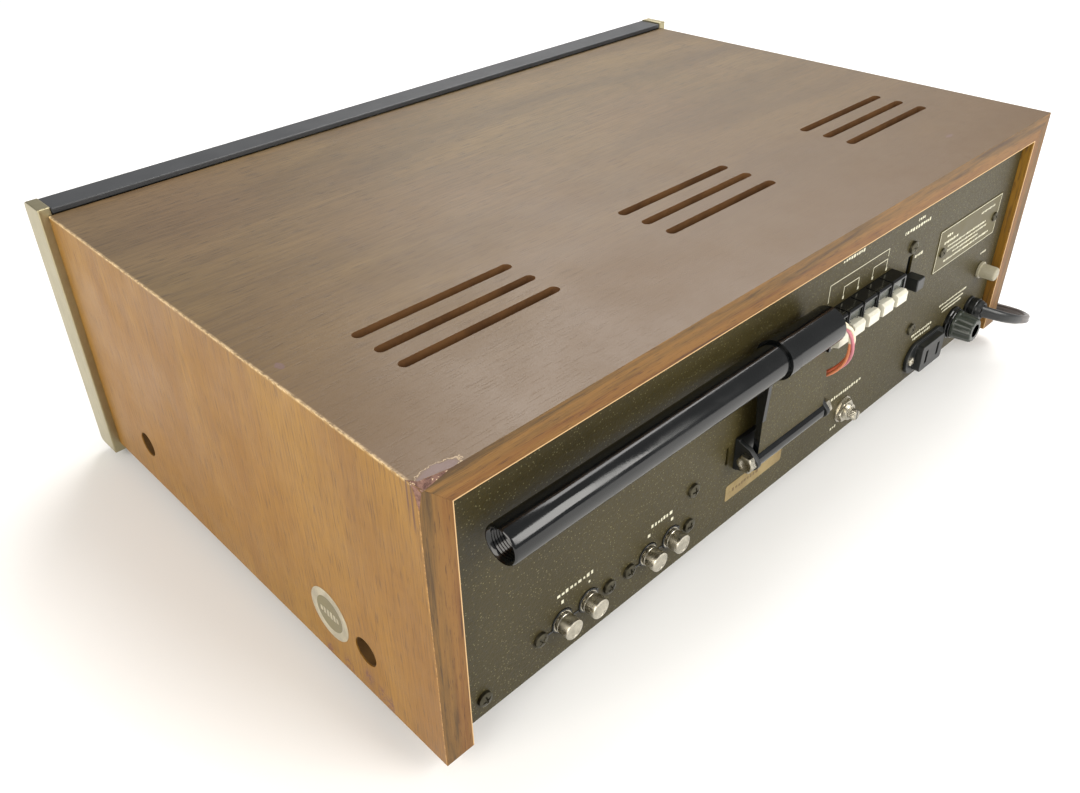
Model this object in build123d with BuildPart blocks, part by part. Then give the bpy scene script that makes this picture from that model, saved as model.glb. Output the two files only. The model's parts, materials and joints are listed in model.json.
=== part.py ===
from build123d import *
import math
import os

# A stereo tuner in a wooden case, its back to +Y and its front to -Y. Millimetres, +Z up.
# The origin is on the floor, under the middle of the object.

# Driving dimensions
CASE_W = 440.0
CASE_D = 273.0
CASE_H = 132.0
WOOD = 13.0
CASE_BASE = 10.0  # the wood's lower edge above the floor
CASE_BACK = 149.3
PANEL_RECESS = 5.0
SHEET = 1.2
CHASSIS_BASE = 14.0  # the tray's underside above the floor, which is also the feet's height
BEZEL_D = 18.0
CLEAR = 0.3  # gap between pieces that move past each other
RUNNING = 0.05  # radial clearance of a shaft in its bearing

# Worked out from them
CASE_FRONT = CASE_BACK - CASE_D
CASE_TOP = CASE_BASE + CASE_H
INNER_X = CASE_W / 2 - WOOD
INNER_TOP = CASE_TOP - WOOD
PANEL_FACE = CASE_BACK - PANEL_RECESS
PANEL_BACK = PANEL_FACE - SHEET  # the rear panel's inner face
CHASSIS_X = INNER_X - 0.6
CHASSIS_TOP = INNER_TOP - 0.6
TRAY_TOP = CHASSIS_BASE + SHEET
FASCIA_FRONT = CASE_FRONT - BEZEL_D
SUB_FRONT = CASE_FRONT + 0.2
SUB_BACK = SUB_FRONT + SHEET

# Vent slots in the top board
VENT_X = (-145.0, 0.0, 145.0)
VENT_Y = (66.7, 80.5, 94.2)
VENT_LENGTH = 78.0
VENT_WIDTH = 5.0

# Screws that hold the chassis in the case, sunk in the side boards
CASE_SCREW_Y = (-78.8, 103.5)
CASE_SCREW_Z = 33.5
SINK_R = 6.5
SINK_DEPTH = 8.0
SCREW_HEAD_R = 4.8
SCREW_HEAD_H = 3.0
SCREW_SHANK_R = 2.3

# Back: phono sockets in two pairs, each pair on its own insulating plate
JACK_Z = 32.5
JACK_PAIR_X = (148.0, 96.5)
JACK_HALF_PITCH = 7.5
JACK_SCREW_HALF_PITCH = 19.6
JACK_R = 4.15
JACK_BORE_R = 1.75
JACK_LENGTH = 5.0
CAP_R = 4.6
CAP_LENGTH = 6.2
CAP_GAP = 1.0  # between the panel and a shorting cap
PANEL_SCREWS = (
    (-197.0, 23.2), (197.0, 23.2), (75.5, 50.5), (-92.3, 105.2), (-111.0, 49.8)
)
PANEL_SCREW_R = 3.3
PANEL_SCREW_H = 2.0
PANEL_SHANK_R = 1.4

# Back: ferrite bar antenna on a swinging bracket
BAR_X = (3.0, 195.0)
BAR_Y = PANEL_FACE + 11.3
BAR_Z = 106.5
BAR_R = 7.7
BAR_BORE_R = 6.2
ROD_R = 5.0
SLEEVE_R = 8.7
SLEEVE_X = (3.0, 36.5)
COLLAR_X = (36.5, 43.0)
COLLAR_R = 9.0
PIVOT_Y = PANEL_FACE + 7.7
PIVOT_Z = 53.5
BARREL_R = 4.0
BARREL_X = (-8.0, 44.0)
BOLT_R = 2.0
EAR = 2.5
BRACKET_PLATE = 3.0
LEAD_D = 3.2
LEAD_HOLE = (-9.0, 67.0)
LEAD_HOLE_R = 3.4

# Back: antenna terminals
BLOCK_X = (-73.8, -8.6)
BLOCK_Z = (79.0, 100.4)
BLOCK_D = 8.0
CELLS = 5
CELL_PITCH = 12.9
CELL_W = 10.6
LEVER_W = 9.4
LEVER_Z = (87.6, 93.8)
LEVER_OUT = 11.2
LEVER_PIVOT_Y = PANEL_FACE + 4.4
LEVER_PIVOT_Z = 84.5

# Back: the other fittings, as (x, z)
SWITCH_AT = (-92.5, 86.0)
SWITCH_SLOT = (5.0, 21.0)
SWITCH_TRAVEL = 8.0
POT_AT = (-49.3, 29.0)
POT_SHAFT_R = 3.0
POT_SHAFT_OUT = 8.5
FUSE_AT = (-164.4, 31.6)
GROUND_AT = (-189.0, 56.2)
OUTLET_AT = (-133.0, 27.5)
BUSHING_AT = (-186.0, 33.0)
BUSHING_R = 6.5
BUSHING_OUT = 9.0

# Front: dial, meters and controls, as (x, z)
WINDOW_AT = (-43.0, 102.0)
WINDOW_SIZE = (306.0, 50.0)
METER_X = (-172.0, -124.0)
METER_Z = 102.0
METER_SIZE = (40.0, 36.0)
NEEDLE_PIVOT_Z = 89.0
POINTER_X = 20.0
TUNING_AT = (165.0, 98.0)
SELECTOR_AT = (165.0, 38.0)
BUTTON_X = (-180.0, -150.0)
BUTTON_Z = 38.0
BUTTON_SIZE = (14.0, 8.0)
SHAFT_R = 3.0
KNOB_BACK = FASCIA_FRONT - 2.0
KNOB_FRONT = FASCIA_FRONT - 22.0
DRUM_AT = (20.0, 68.0)
DRUM_R = 42.0
PULLEY_R = 4.2

# Mains cord: a loose loop behind the case, then a coil on the floor beside it
CORD_D = 5.2
CORD_ROUTE = [
    (-186.2, PANEL_FACE + BUSHING_OUT - 2.0, 32.8),
    (-193.0, PANEL_FACE + 16.0, 29.6),
    (-204.0, PANEL_FACE + 21.5, 25.0),
    (-218.0, PANEL_FACE + 23.0, 19.5),
    (-232.0, PANEL_FACE + 20.5, 13.5),
    (-243.5, PANEL_FACE + 12.5, 8.5),
    (-249.5, PANEL_FACE + 1.0, 5.0),
    (-250.0, 131.0, 3.4),
    (-247.0, 114.0, 3.0),
    (-246.5, 96.0, 3.1),
    (-251.0, 79.0, 3.0),
    (-258.0, 63.0, 2.9),
]
COIL_AT = (-290.0, 40.0)
COIL_R = 31.0  # to the middle of the turns
COIL_W = 13.0
COIL_H = 23.0
TAIL_ROUTE = [
    (-259.6, 20.0, 19.0),
    (-257.5, 3.0, 16.5),
    (-257.0, -15.0, 11.0),
    (-259.5, -32.0, 7.5),
    (-264.0, -48.0, 7.2),
]
PLUG_BODY = (20.0, 26.0, 14.0)
PLUG_BLADE = (1.5, 17.0, 6.3)
PLUG_BLADE_X = 6.35

os.makedirs("parts", exist_ok=True)


def write(piece, label):
    """Labels a finished piece and writes its STEP file."""
    piece.part.label = label
    export_step(piece.part, f"parts/{label}.step")


def upright(y):
    """The plane at y whose sketch axes are X and Z. Positive extrudes go to the front, -Y."""
    return Plane.XZ.offset(-y)


def slab(x, y, z, mode=Mode.ADD):
    """A box between two x, two y and two z, for use inside a part."""
    with Locations((sum(x) / 2, sum(y) / 2, sum(z) / 2)):
        return Box(abs(x[1] - x[0]), abs(y[1] - y[0]), abs(z[1] - z[0]), mode=mode)


def cut_slab(x, y, z):
    """Cuts the same box away."""
    return slab(x, y, z, Mode.SUBTRACT)


def rod(at, y, radius, mode=Mode.ADD):
    """A cylinder along Y at (x, z) from y[0] to y[1]."""
    with Locations((at[0], sum(y) / 2, at[1])):
        return Cylinder(radius, abs(y[1] - y[0]), rotation=(90, 0, 0), mode=mode)


def bar(x, y, z, radius, mode=Mode.ADD):
    """A cylinder along X at (y, z) from x[0] to x[1]."""
    with Locations((sum(x) / 2, y, z)):
        return Cylinder(radius, abs(x[1] - x[0]), rotation=(0, 90, 0), mode=mode)


def turns_of(points):
    """Each inner point's bend radius: 0.45 of the shorter run over the tangent of half the turn."""
    radii = []
    for before, here, after in zip(points, points[1:], points[2:]):
        first = Vector(*here) - Vector(*before)
        second = Vector(*after) - Vector(*here)
        half = math.radians(first.get_angle(second)) / 2
        radii.append(0.45 * min(first.length, second.length) / math.tan(half))
    return radii


def tube_along(points, diameter, label):
    """A round tube of straight runs joined by tangent arcs, with its volume checked."""
    radii = turns_of(points)
    with BuildPart() as tube:
        with BuildLine() as line:
            FilletPolyline(*points, radius=radii)
        path = line.wires()[0]
        start = Plane(origin=path @ 0, z_dir=path % 0)
        with BuildSketch(start):
            Circle(diameter / 2)
        sweep(path=path)
    expected = math.pi * diameter**2 / 4 * path.length
    print(label, "radii", [round(r) for r in radii], "length", round(path.length))
    print(label, "volume over section times length", round(tube.part.volume / expected, 4))
    return tube


# Case: three boards mitred at the top corners
with BuildPart() as case_top:
    with BuildSketch(upright(CASE_FRONT)):
        with BuildLine():
            Polyline(
                (-CASE_W / 2, CASE_TOP), (CASE_W / 2, CASE_TOP),
                (INNER_X, INNER_TOP), (-INNER_X, INNER_TOP), close=True,
            )
        make_face()
    extrude(amount=-CASE_D)
    with BuildSketch(Plane.XY.offset(CASE_TOP)):
        with Locations(*[(x, y) for x in VENT_X for y in VENT_Y]):
            SlotOverall(VENT_LENGTH, VENT_WIDTH)
    extrude(amount=-WOOD, mode=Mode.SUBTRACT)
write(case_top, "case_top")

with BuildPart() as case_side_right:
    with BuildSketch(upright(CASE_FRONT)):
        with BuildLine():
            Polyline(
                (INNER_X, CASE_BASE), (CASE_W / 2, CASE_BASE),
                (CASE_W / 2, CASE_TOP), (INNER_X, INNER_TOP), close=True,
            )
        make_face()
    extrude(amount=-CASE_D)
    with Locations(
        *[Location((CASE_W / 2, y, CASE_SCREW_Z), (0, 90, 0)) for y in CASE_SCREW_Y]
    ):
        CounterBoreHole(SCREW_SHANK_R + 0.2, SINK_R, SINK_DEPTH, WOOD)
write(case_side_right, "case_side_right")

with BuildPart() as case_side_left:
    mirror(case_side_right.part, about=Plane.YZ)
write(case_side_left, "case_side_left")

with BuildPart() as case_screws:
    for side in (-1, 1):
        for y in CASE_SCREW_Y:
            floor = side * (CASE_W / 2 - SINK_DEPTH)
            bar((floor, floor + side * SCREW_HEAD_H), y, CASE_SCREW_Z, SCREW_HEAD_R)
            bar((floor - side * 10, floor), y, CASE_SCREW_Z, SCREW_SHANK_R)
write(case_screws, "case_screws")

with BuildPart() as feet:
    with Locations(*[(x, y, CHASSIS_BASE / 2) for x in (-165, 165) for y in (-85, 112)]):
        Cylinder(17, CHASSIS_BASE)
    chamfer(feet.edges().filter_by(GeomType.CIRCLE).group_by(Axis.Z)[0], 2.5)
write(feet, "feet")

# Chassis: a tray, the front sub-panel and the rear panel
with BuildPart() as chassis_tray:
    tray_y = (SUB_BACK + 0.1, PANEL_BACK - 0.1)
    slab((-CHASSIS_X, CHASSIS_X), tray_y, (CHASSIS_BASE, TRAY_TOP))
    for side in (-1, 1):
        slab((side * CHASSIS_X, side * (CHASSIS_X - SHEET)), tray_y, (CHASSIS_BASE, 60))
        for y in CASE_SCREW_Y:
            bar(
                (side * (CHASSIS_X - 2), side * (CHASSIS_X + 1)), y, CASE_SCREW_Z,
                SCREW_SHANK_R + 0.1, Mode.SUBTRACT,
            )
    with BuildSketch(Plane.XY.offset(TRAY_TOP)):
        with Locations((-60, -60), (110, 90)):
            with GridLocations(12, 40, 8, 1):
                SlotOverall(40, 5, rotation=90)
    extrude(amount=-SHEET, mode=Mode.SUBTRACT)
write(chassis_tray, "chassis_tray")

with BuildPart() as front_subpanel:
    slab((-CHASSIS_X, CHASSIS_X), (SUB_FRONT, SUB_BACK), (TRAY_TOP + 0.2, CHASSIS_TOP))
    for x in METER_X:
        half_w, half_h = METER_SIZE[0] / 2 + 0.5, METER_SIZE[1] / 2 + 0.5
        cut_slab(
            (x - half_w, x + half_w), (SUB_FRONT - 1, SUB_BACK + 1),
            (METER_Z - half_h, METER_Z + half_h),
        )
    for x in BUTTON_X:
        cut_slab(
            (x - 4, x + 4), (SUB_FRONT - 1, SUB_BACK + 1), (BUTTON_Z - 4, BUTTON_Z + 4)
        )
    rod(TUNING_AT, (SUB_FRONT - 1, SUB_BACK + 1), SHAFT_R + RUNNING, Mode.SUBTRACT)
    rod(SELECTOR_AT, (SUB_FRONT - 1, SUB_BACK + 1), 5.2, Mode.SUBTRACT)
write(front_subpanel, "front_subpanel")

JACK_X = [
    x + side * JACK_HALF_PITCH for x in JACK_PAIR_X for side in (-1, 1)
]
PLATE_SCREWS = [
    (x + side * JACK_SCREW_HALF_PITCH, JACK_Z - 1) for x in JACK_PAIR_X for side in (-1, 1)
]
ALL_PANEL_SCREWS = list(PANEL_SCREWS) + PLATE_SCREWS

with BuildPart() as rear_panel:
    through = (PANEL_BACK - 1, PANEL_FACE + 1)
    slab((-CHASSIS_X, CHASSIS_X), (PANEL_BACK, PANEL_FACE), (CHASSIS_BASE, CHASSIS_TOP))
    for x in JACK_X:
        rod((x, JACK_Z), through, 5.8, Mode.SUBTRACT)
    for at in ALL_PANEL_SCREWS:
        rod(at, through, PANEL_SHANK_R + 0.1, Mode.SUBTRACT)
    for at, radius in (
        (POT_AT, 4.7), (FUSE_AT, 6.5), (GROUND_AT, 2.2), (BUSHING_AT, 5.2), (LEAD_HOLE, LEAD_HOLE_R)
    ):
        rod(at, through, radius, Mode.SUBTRACT)
    slot_w, slot_h = SWITCH_SLOT
    slot_x, slot_z = SWITCH_AT[0], SWITCH_AT[1] + SWITCH_TRAVEL / 2
    cut_slab(
        (slot_x - slot_w / 2, slot_x + slot_w / 2), through,
        (slot_z - slot_h / 2, slot_z + slot_h / 2),
    )
    cut_slab((BLOCK_X[0] + 6, BLOCK_X[1] - 6), through, (82, 96))
    cut_slab((OUTLET_AT[0] - 13.2, OUTLET_AT[0] + 13.2), through, (19.3, 35.7))
    cut_slab((51, 53), through, (50.5, 60))
write(rear_panel, "rear_panel")

with BuildPart() as rear_panel_screws:
    for at in ALL_PANEL_SCREWS:
        rod(at, (PANEL_FACE, PANEL_FACE + PANEL_SCREW_H), PANEL_SCREW_R)
        rod(at, (PANEL_BACK, PANEL_FACE), PANEL_SHANK_R)
    rims = rear_panel_screws.edges().filter_by(GeomType.CIRCLE).group_by(Axis.Y)[-1]
    fillet(rims, 0.9)
write(rear_panel_screws, "rear_panel_screws")

# Front bezel: fascia, two metal ends, and a dark strip above and below
BEZEL_X = 218.0
BEZEL_END = 6.0
BEZEL_Z = (5.0, 146.0)

with BuildPart() as bezel_ends:
    for side in (-1, 1):
        slab(
            (side * BEZEL_X, side * (BEZEL_X + BEZEL_END)), (FASCIA_FRONT, CASE_FRONT - 0.2),
            BEZEL_Z,
        )
    front_edges = bezel_ends.edges().filter_by(Axis.X).group_by(Axis.Y)[0]
    fillet(front_edges, 3.5)
write(bezel_ends, "bezel_ends")

with BuildPart() as bezel_strips:
    strip_x = (-BEZEL_X + 0.1, BEZEL_X - 0.1)
    slab(strip_x, (FASCIA_FRONT + 1, CASE_FRONT - 0.4), (CASE_TOP + 0.2, CASE_TOP + 3))
    slab(strip_x, (FASCIA_FRONT + 1, CASE_FRONT - 0.4), (BEZEL_Z[0] + 0.6, CASE_BASE - 0.8))
write(bezel_strips, "bezel_strips")

with BuildPart() as front_fascia:
    fascia_y = (FASCIA_FRONT, FASCIA_FRONT + 4)
    slab((-BEZEL_X + 0.1, BEZEL_X - 0.1), fascia_y, (CASE_BASE - 0.6, CASE_TOP))
    cut_y = (fascia_y[0] - 1, fascia_y[1] + 1)
    cut_slab(
        (WINDOW_AT[0] - WINDOW_SIZE[0] / 2, WINDOW_AT[0] + WINDOW_SIZE[0] / 2), cut_y,
        (WINDOW_AT[1] - WINDOW_SIZE[1] / 2, WINDOW_AT[1] + WINDOW_SIZE[1] / 2),
    )
    for x in BUTTON_X:
        half_w, half_h = BUTTON_SIZE[0] / 2 + CLEAR, BUTTON_SIZE[1] / 2 + CLEAR
        cut_slab((x - half_w, x + half_w), cut_y, (BUTTON_Z - half_h, BUTTON_Z + half_h))
    for at in (TUNING_AT, SELECTOR_AT):
        rod(at, cut_y, 5, Mode.SUBTRACT)
write(front_fascia, "front_fascia")

# Dial: glass, scale plate with the pointer's rail, the pointer and two meters
GLASS_Y = (FASCIA_FRONT + 4.1, FASCIA_FRONT + 6.1)
SCALE_Y = (SUB_FRONT - 4.2, SUB_FRONT - 3.2)
RAIL_Z = (78.0, 79.0)

with BuildPart() as dial_window:
    slab(
        (WINDOW_AT[0] - WINDOW_SIZE[0] / 2 - 3, WINDOW_AT[0] + WINDOW_SIZE[0] / 2 + 3), GLASS_Y,
        (WINDOW_AT[1] - WINDOW_SIZE[1] / 2 - 3, WINDOW_AT[1] + WINDOW_SIZE[1] / 2 + 3),
    )
write(dial_window, "dial_window")

with BuildPart() as dial_plate:
    slab((-198, 112), SCALE_Y, (76, 128))
    for z in (76.0, 127.0):
        slab((-198, 112), (SCALE_Y[0], SUB_FRONT - 0.1), (z, z + 1))
    slab((-90, 110), (SCALE_Y[0] - 4, SCALE_Y[0]), RAIL_Z)
    for x in METER_X:
        half_w, half_h = METER_SIZE[0] / 2 + 0.4, METER_SIZE[1] / 2 + 0.4
        cut_slab(
            (x - half_w, x + half_w), (SCALE_Y[0] - 1, SCALE_Y[1] + 1),
            (METER_Z - half_h, METER_Z + half_h),
        )
write(dial_plate, "dial_plate")

with BuildPart() as dial_pointer:
    rail_front = SCALE_Y[0] - 4
    clip_x = (POINTER_X - 5, POINTER_X + 5)
    slab(clip_x, (rail_front - 1.3, rail_front - CLEAR), (RAIL_Z[0] - 2, RAIL_Z[1] + 3))
    slab(clip_x, (rail_front - 1.3, SCALE_Y[0] - 1), (RAIL_Z[1] + CLEAR, RAIL_Z[1] + 3))
    slab(clip_x, (rail_front - 1.3, SCALE_Y[0] - 1), (RAIL_Z[0] - 2, RAIL_Z[0] - CLEAR))
    slab(
        (POINTER_X - 0.6, POINTER_X + 0.6), (rail_front - 0.9, rail_front - 0.1),
        (RAIL_Z[1] + 1, 125),
    )
write(dial_pointer, "dial_pointer")

METER_Y = (GLASS_Y[1] + 1, SUB_BACK + 14)
NEEDLE_Y = (METER_Y[0] + 4, METER_Y[0] + 8)

with BuildPart() as meter_cases:
    for x in METER_X:
        slab(
            (x - METER_SIZE[0] / 2, x + METER_SIZE[0] / 2), METER_Y,
            (METER_Z - METER_SIZE[1] / 2, METER_Z + METER_SIZE[1] / 2),
        )
        cut_slab(
            (x - METER_SIZE[0] / 2 + 1.5, x + METER_SIZE[0] / 2 - 1.5),
            (METER_Y[0] - 1, NEEDLE_Y[1] + 1),
            (METER_Z - METER_SIZE[1] / 2 + 1.5, METER_Z + METER_SIZE[1] / 2 - 1.5),
        )
        rod((x, NEEDLE_PIVOT_Z), (NEEDLE_Y[0] + 1, NEEDLE_Y[1] + 1), 0.75)
write(meter_cases, "meter_cases")


def needle(x, lean, label):
    """A needle on its hub, leaning from upright by some degrees, clockwise from the front."""
    with BuildPart() as piece:
        with BuildSketch(upright(NEEDLE_Y[0])):
            with Locations((x, NEEDLE_PIVOT_Z)):
                Circle(2.6)
        extrude(amount=-(NEEDLE_Y[1] - NEEDLE_Y[0]))
        with BuildSketch(upright(NEEDLE_Y[0])):
            with Locations(Location((x, NEEDLE_PIVOT_Z, 0), (0, 0, -lean))):
                with Locations((0, 10.0)):
                    Rectangle(1.0, 20.0)
        extrude(amount=-0.8)
        rod((x, NEEDLE_PIVOT_Z), (NEEDLE_Y[0] - 1, NEEDLE_Y[1] + 1), 0.8, Mode.SUBTRACT)
    write(piece, label)


needle(METER_X[0], -40, "signal_needle")
needle(METER_X[1], 0, "tuning_needle")

# Tuning: knob, shaft with flywheel and pulley, dial drum and the gang capacitor it turns
with BuildPart() as tuning_knob:
    rod(TUNING_AT, (KNOB_FRONT, KNOB_BACK - 3), 22)
    rod(TUNING_AT, (KNOB_BACK - 3, KNOB_BACK), 24)
    fillet(tuning_knob.edges().filter_by(GeomType.CIRCLE).group_by(Axis.Y)[0], 1.2)
    rod(TUNING_AT, (KNOB_FRONT + 6, KNOB_BACK + 1), SHAFT_R + RUNNING, Mode.SUBTRACT)
write(tuning_knob, "tuning_knob")

with BuildPart() as tuning_shaft:
    rod(TUNING_AT, (KNOB_FRONT + 7, SUB_BACK + 20), SHAFT_R)
    rod(TUNING_AT, (SUB_BACK + CLEAR, SUB_BACK + 4), PULLEY_R)
    rod(TUNING_AT, (SUB_BACK + 5, SUB_BACK + 15), 25)
write(tuning_shaft, "tuning_shaft")

DRUM_Y = (SUB_BACK + 2, SUB_BACK + 8)
GANG_Y = (-105.0, -45.0)
VANES = 5
VANE_PITCH = 9.0
VANE = 1.5
VANE_FIRST = GANG_Y[0] + 12.0

with BuildPart() as dial_drum:
    rod(DRUM_AT, DRUM_Y, DRUM_R)
    with BuildSketch(upright(DRUM_Y[0])):
        with Locations(DRUM_AT):
            with PolarLocations(25, 4, start_angle=45):
                Circle(9)
    extrude(amount=-(DRUM_Y[1] - DRUM_Y[0]), mode=Mode.SUBTRACT)
    rod(DRUM_AT, (DRUM_Y[0] - 1, DRUM_Y[1] + 1), SHAFT_R + RUNNING, Mode.SUBTRACT)
write(dial_drum, "dial_drum")

with BuildPart() as gang_rotor:
    rod(DRUM_AT, (DRUM_Y[0], GANG_Y[1] + 3), SHAFT_R)
    for step in range(VANES):
        with BuildSketch(upright(VANE_FIRST + step * VANE_PITCH)):
            with Locations(DRUM_AT):
                Circle(20)
            with Locations((DRUM_AT[0], DRUM_AT[1] + 10.5)):
                Rectangle(44, 21, mode=Mode.SUBTRACT)
        extrude(amount=-VANE)
write(gang_rotor, "gang_rotor")

with BuildPart() as gang_frame:
    frame_x = (DRUM_AT[0] - 26, DRUM_AT[0] + 26)
    for y in ((GANG_Y[0], GANG_Y[0] + 2), (GANG_Y[1] - 2, GANG_Y[1])):
        slab(frame_x, y, (TRAY_TOP, 96))
    slab(frame_x, GANG_Y, (TRAY_TOP, TRAY_TOP + 2))
    slab((DRUM_AT[0] - 4, DRUM_AT[0] + 4), GANG_Y, (91, 95))
    for step in range(VANES - 1):
        middle = VANE_FIRST + VANE / 2 + (step + 0.5) * VANE_PITCH
        with BuildSketch(upright(middle - VANE / 2)):
            with Locations(DRUM_AT):
                Circle(24)
                Circle(6, mode=Mode.SUBTRACT)
            with Locations((DRUM_AT[0], DRUM_AT[1] - 12)):
                Rectangle(50, 24, mode=Mode.SUBTRACT)
        extrude(amount=-VANE)
    rod(DRUM_AT, (GANG_Y[0] - 1, GANG_Y[0] + 3), SHAFT_R + RUNNING, Mode.SUBTRACT)
    rod(DRUM_AT, (GANG_Y[1] - 3, GANG_Y[1] + 1), SHAFT_R + RUNNING, Mode.SUBTRACT)
write(gang_frame, "gang_frame")

# Front controls
SWITCH_BODY_Y = (SUB_BACK + 0.2, SUB_BACK + 14)
PUSH_BODY_Y = (SUB_BACK + 3, SUB_BACK + 30)

with BuildPart() as control_switches:
    slab(
        (SELECTOR_AT[0] - 17, SELECTOR_AT[0] + 17), SWITCH_BODY_Y,
        (SELECTOR_AT[1] - 17, SELECTOR_AT[1] + 17),
    )
    rod(SELECTOR_AT, (FASCIA_FRONT + 6, SWITCH_BODY_Y[0]), 5)
    rod(SELECTOR_AT, (FASCIA_FRONT + 5, SWITCH_BODY_Y[1] + 1), SHAFT_R + RUNNING, Mode.SUBTRACT)
    for x in BUTTON_X:
        slab((x - 6, x + 6), PUSH_BODY_Y, (BUTTON_Z - 6, BUTTON_Z + 6))
        cut_slab(
            (x - 3.4, x + 3.4), (PUSH_BODY_Y[0] - 1, PUSH_BODY_Y[0] + 10),
            (BUTTON_Z - 3.4, BUTTON_Z + 3.4),
        )
write(control_switches, "control_switches")

with BuildPart() as selector_knob:
    rod(SELECTOR_AT, (KNOB_FRONT + 3, KNOB_BACK), 13)
    fillet(selector_knob.edges().filter_by(GeomType.CIRCLE).group_by(Axis.Y)[0], 1)
    rod(SELECTOR_AT, (KNOB_BACK, SWITCH_BODY_Y[1] - 1), SHAFT_R)
write(selector_knob, "selector_knob")


def push_button(x, label):
    """A push button: its cap in the fascia, and the plunger that enters its switch."""
    with BuildPart() as piece:
        slab(
            (x - BUTTON_SIZE[0] / 2, x + BUTTON_SIZE[0] / 2),
            (FASCIA_FRONT - 6, FASCIA_FRONT + 8),
            (BUTTON_Z - BUTTON_SIZE[1] / 2, BUTTON_Z + BUTTON_SIZE[1] / 2),
        )
        fillet(piece.edges().group_by(Axis.Y)[0], 0.8)
        slab((x - 3, x + 3), (FASCIA_FRONT + 8, PUSH_BODY_Y[0] + 3), (BUTTON_Z - 3, BUTTON_Z + 3))
    write(piece, label)


push_button(BUTTON_X[0], "power_button")
push_button(BUTTON_X[1], "muting_button")

# Inside the chassis
with BuildPart() as power_transformer:
    slab((-188, -124), (38, 78), (TRAY_TOP, TRAY_TOP + 54))
    slab((-178, -134), (28, 88), (TRAY_TOP + 10, TRAY_TOP + 44))
write(power_transformer, "power_transformer")

BOARD_X = (-60.0, 190.0)
BOARD_Y = (-30.0, 120.0)
BOARD_Z = (TRAY_TOP + 9.0, TRAY_TOP + 10.6)

with BuildPart() as main_board:
    slab(BOARD_X, BOARD_Y, BOARD_Z)
    with Locations(
        *[(x, y, TRAY_TOP + 4.5) for x in (BOARD_X[0] + 8, BOARD_X[1] - 8)
          for y in (BOARD_Y[0] + 8, BOARD_Y[1] - 8)]
    ):
        Cylinder(3, 9)
write(main_board, "main_board")

with BuildPart() as shield_cans:
    with Locations((60, 0, BOARD_Z[1] + 8), (100, 95, BOARD_Z[1] + 8)):
        with GridLocations(22, 30, 4, 1):
            Box(11, 11, 16)
    slab((60, 125), (-104, -50), (TRAY_TOP, TRAY_TOP + 36))
write(shield_cans, "shield_cans")

with BuildPart() as capacitors:
    for x, y, radius, height in ((-42, 90, 11, 36), (-14, 92, 9, 28), (-42, 55, 6, 18), (10, 60, 5, 14)):
        with Locations((x, y, BOARD_Z[1] + height / 2)):
            Cylinder(radius, height)
write(capacitors, "capacitors")

# Ferrite bar antenna
with BuildPart() as antenna_tube:
    bar(BAR_X, BAR_Y, BAR_Z, BAR_R)
    bar((BAR_X[0] - 1, BAR_X[1] + 1), BAR_Y, BAR_Z, BAR_BORE_R, Mode.SUBTRACT)
    outer_rims = antenna_tube.edges().filter_by(GeomType.CIRCLE).group_by(SortBy.RADIUS)[-1]
    fillet(outer_rims, 0.6)
write(antenna_tube, "antenna_tube")

with BuildPart() as ferrite_rod:
    bar((24, 172), BAR_Y, BAR_Z, ROD_R)
    for x in (28.0, 163.0):
        bar((x, x + 5), BAR_Y, BAR_Z, BAR_BORE_R - RUNNING)
write(ferrite_rod, "ferrite_rod")

with BuildPart() as antenna_bracket:
    bar(SLEEVE_X, BAR_Y, BAR_Z, SLEEVE_R)
    bar(COLLAR_X, BAR_Y, BAR_Z, COLLAR_R)
    bar(BARREL_X, PIVOT_Y, PIVOT_Z, BARREL_R)
    with BuildSketch(upright(PIVOT_Y - 1)):
        with BuildLine():
            Line((BARREL_X[0], PIVOT_Z), (BARREL_X[1] - 1, PIVOT_Z))
            Line((BARREL_X[1] - 1, PIVOT_Z), (BARREL_X[1] - 1, BAR_Z))
            Line((BARREL_X[1] - 1, BAR_Z), (SLEEVE_X[0], BAR_Z))
            Line((SLEEVE_X[0], BAR_Z), (SLEEVE_X[0], 98))
            RadiusArc((SLEEVE_X[0], 98), (BARREL_X[0], PIVOT_Z), -70)
        make_face()
    extrude(amount=-BRACKET_PLATE)
    with BuildSketch(Plane.YZ.offset(BARREL_X[1] - 3.5)):
        with BuildLine():
            Polyline(
                (PIVOT_Y, PIVOT_Z), (PIVOT_Y + 1, PIVOT_Z), (BAR_Y, BAR_Z), (BAR_Y - 7, BAR_Z),
                close=True,
            )
        make_face()
    extrude(amount=2.5)
    bar((SLEEVE_X[0] - 1, COLLAR_X[1] + 1), BAR_Y, BAR_Z, BAR_R + RUNNING, Mode.SUBTRACT)
    bar(
        (BARREL_X[0] - 1, BARREL_X[1] + 1), PIVOT_Y, PIVOT_Z, BOLT_R + RUNNING, Mode.SUBTRACT
    )
write(antenna_bracket, "antenna_bracket")

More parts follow.
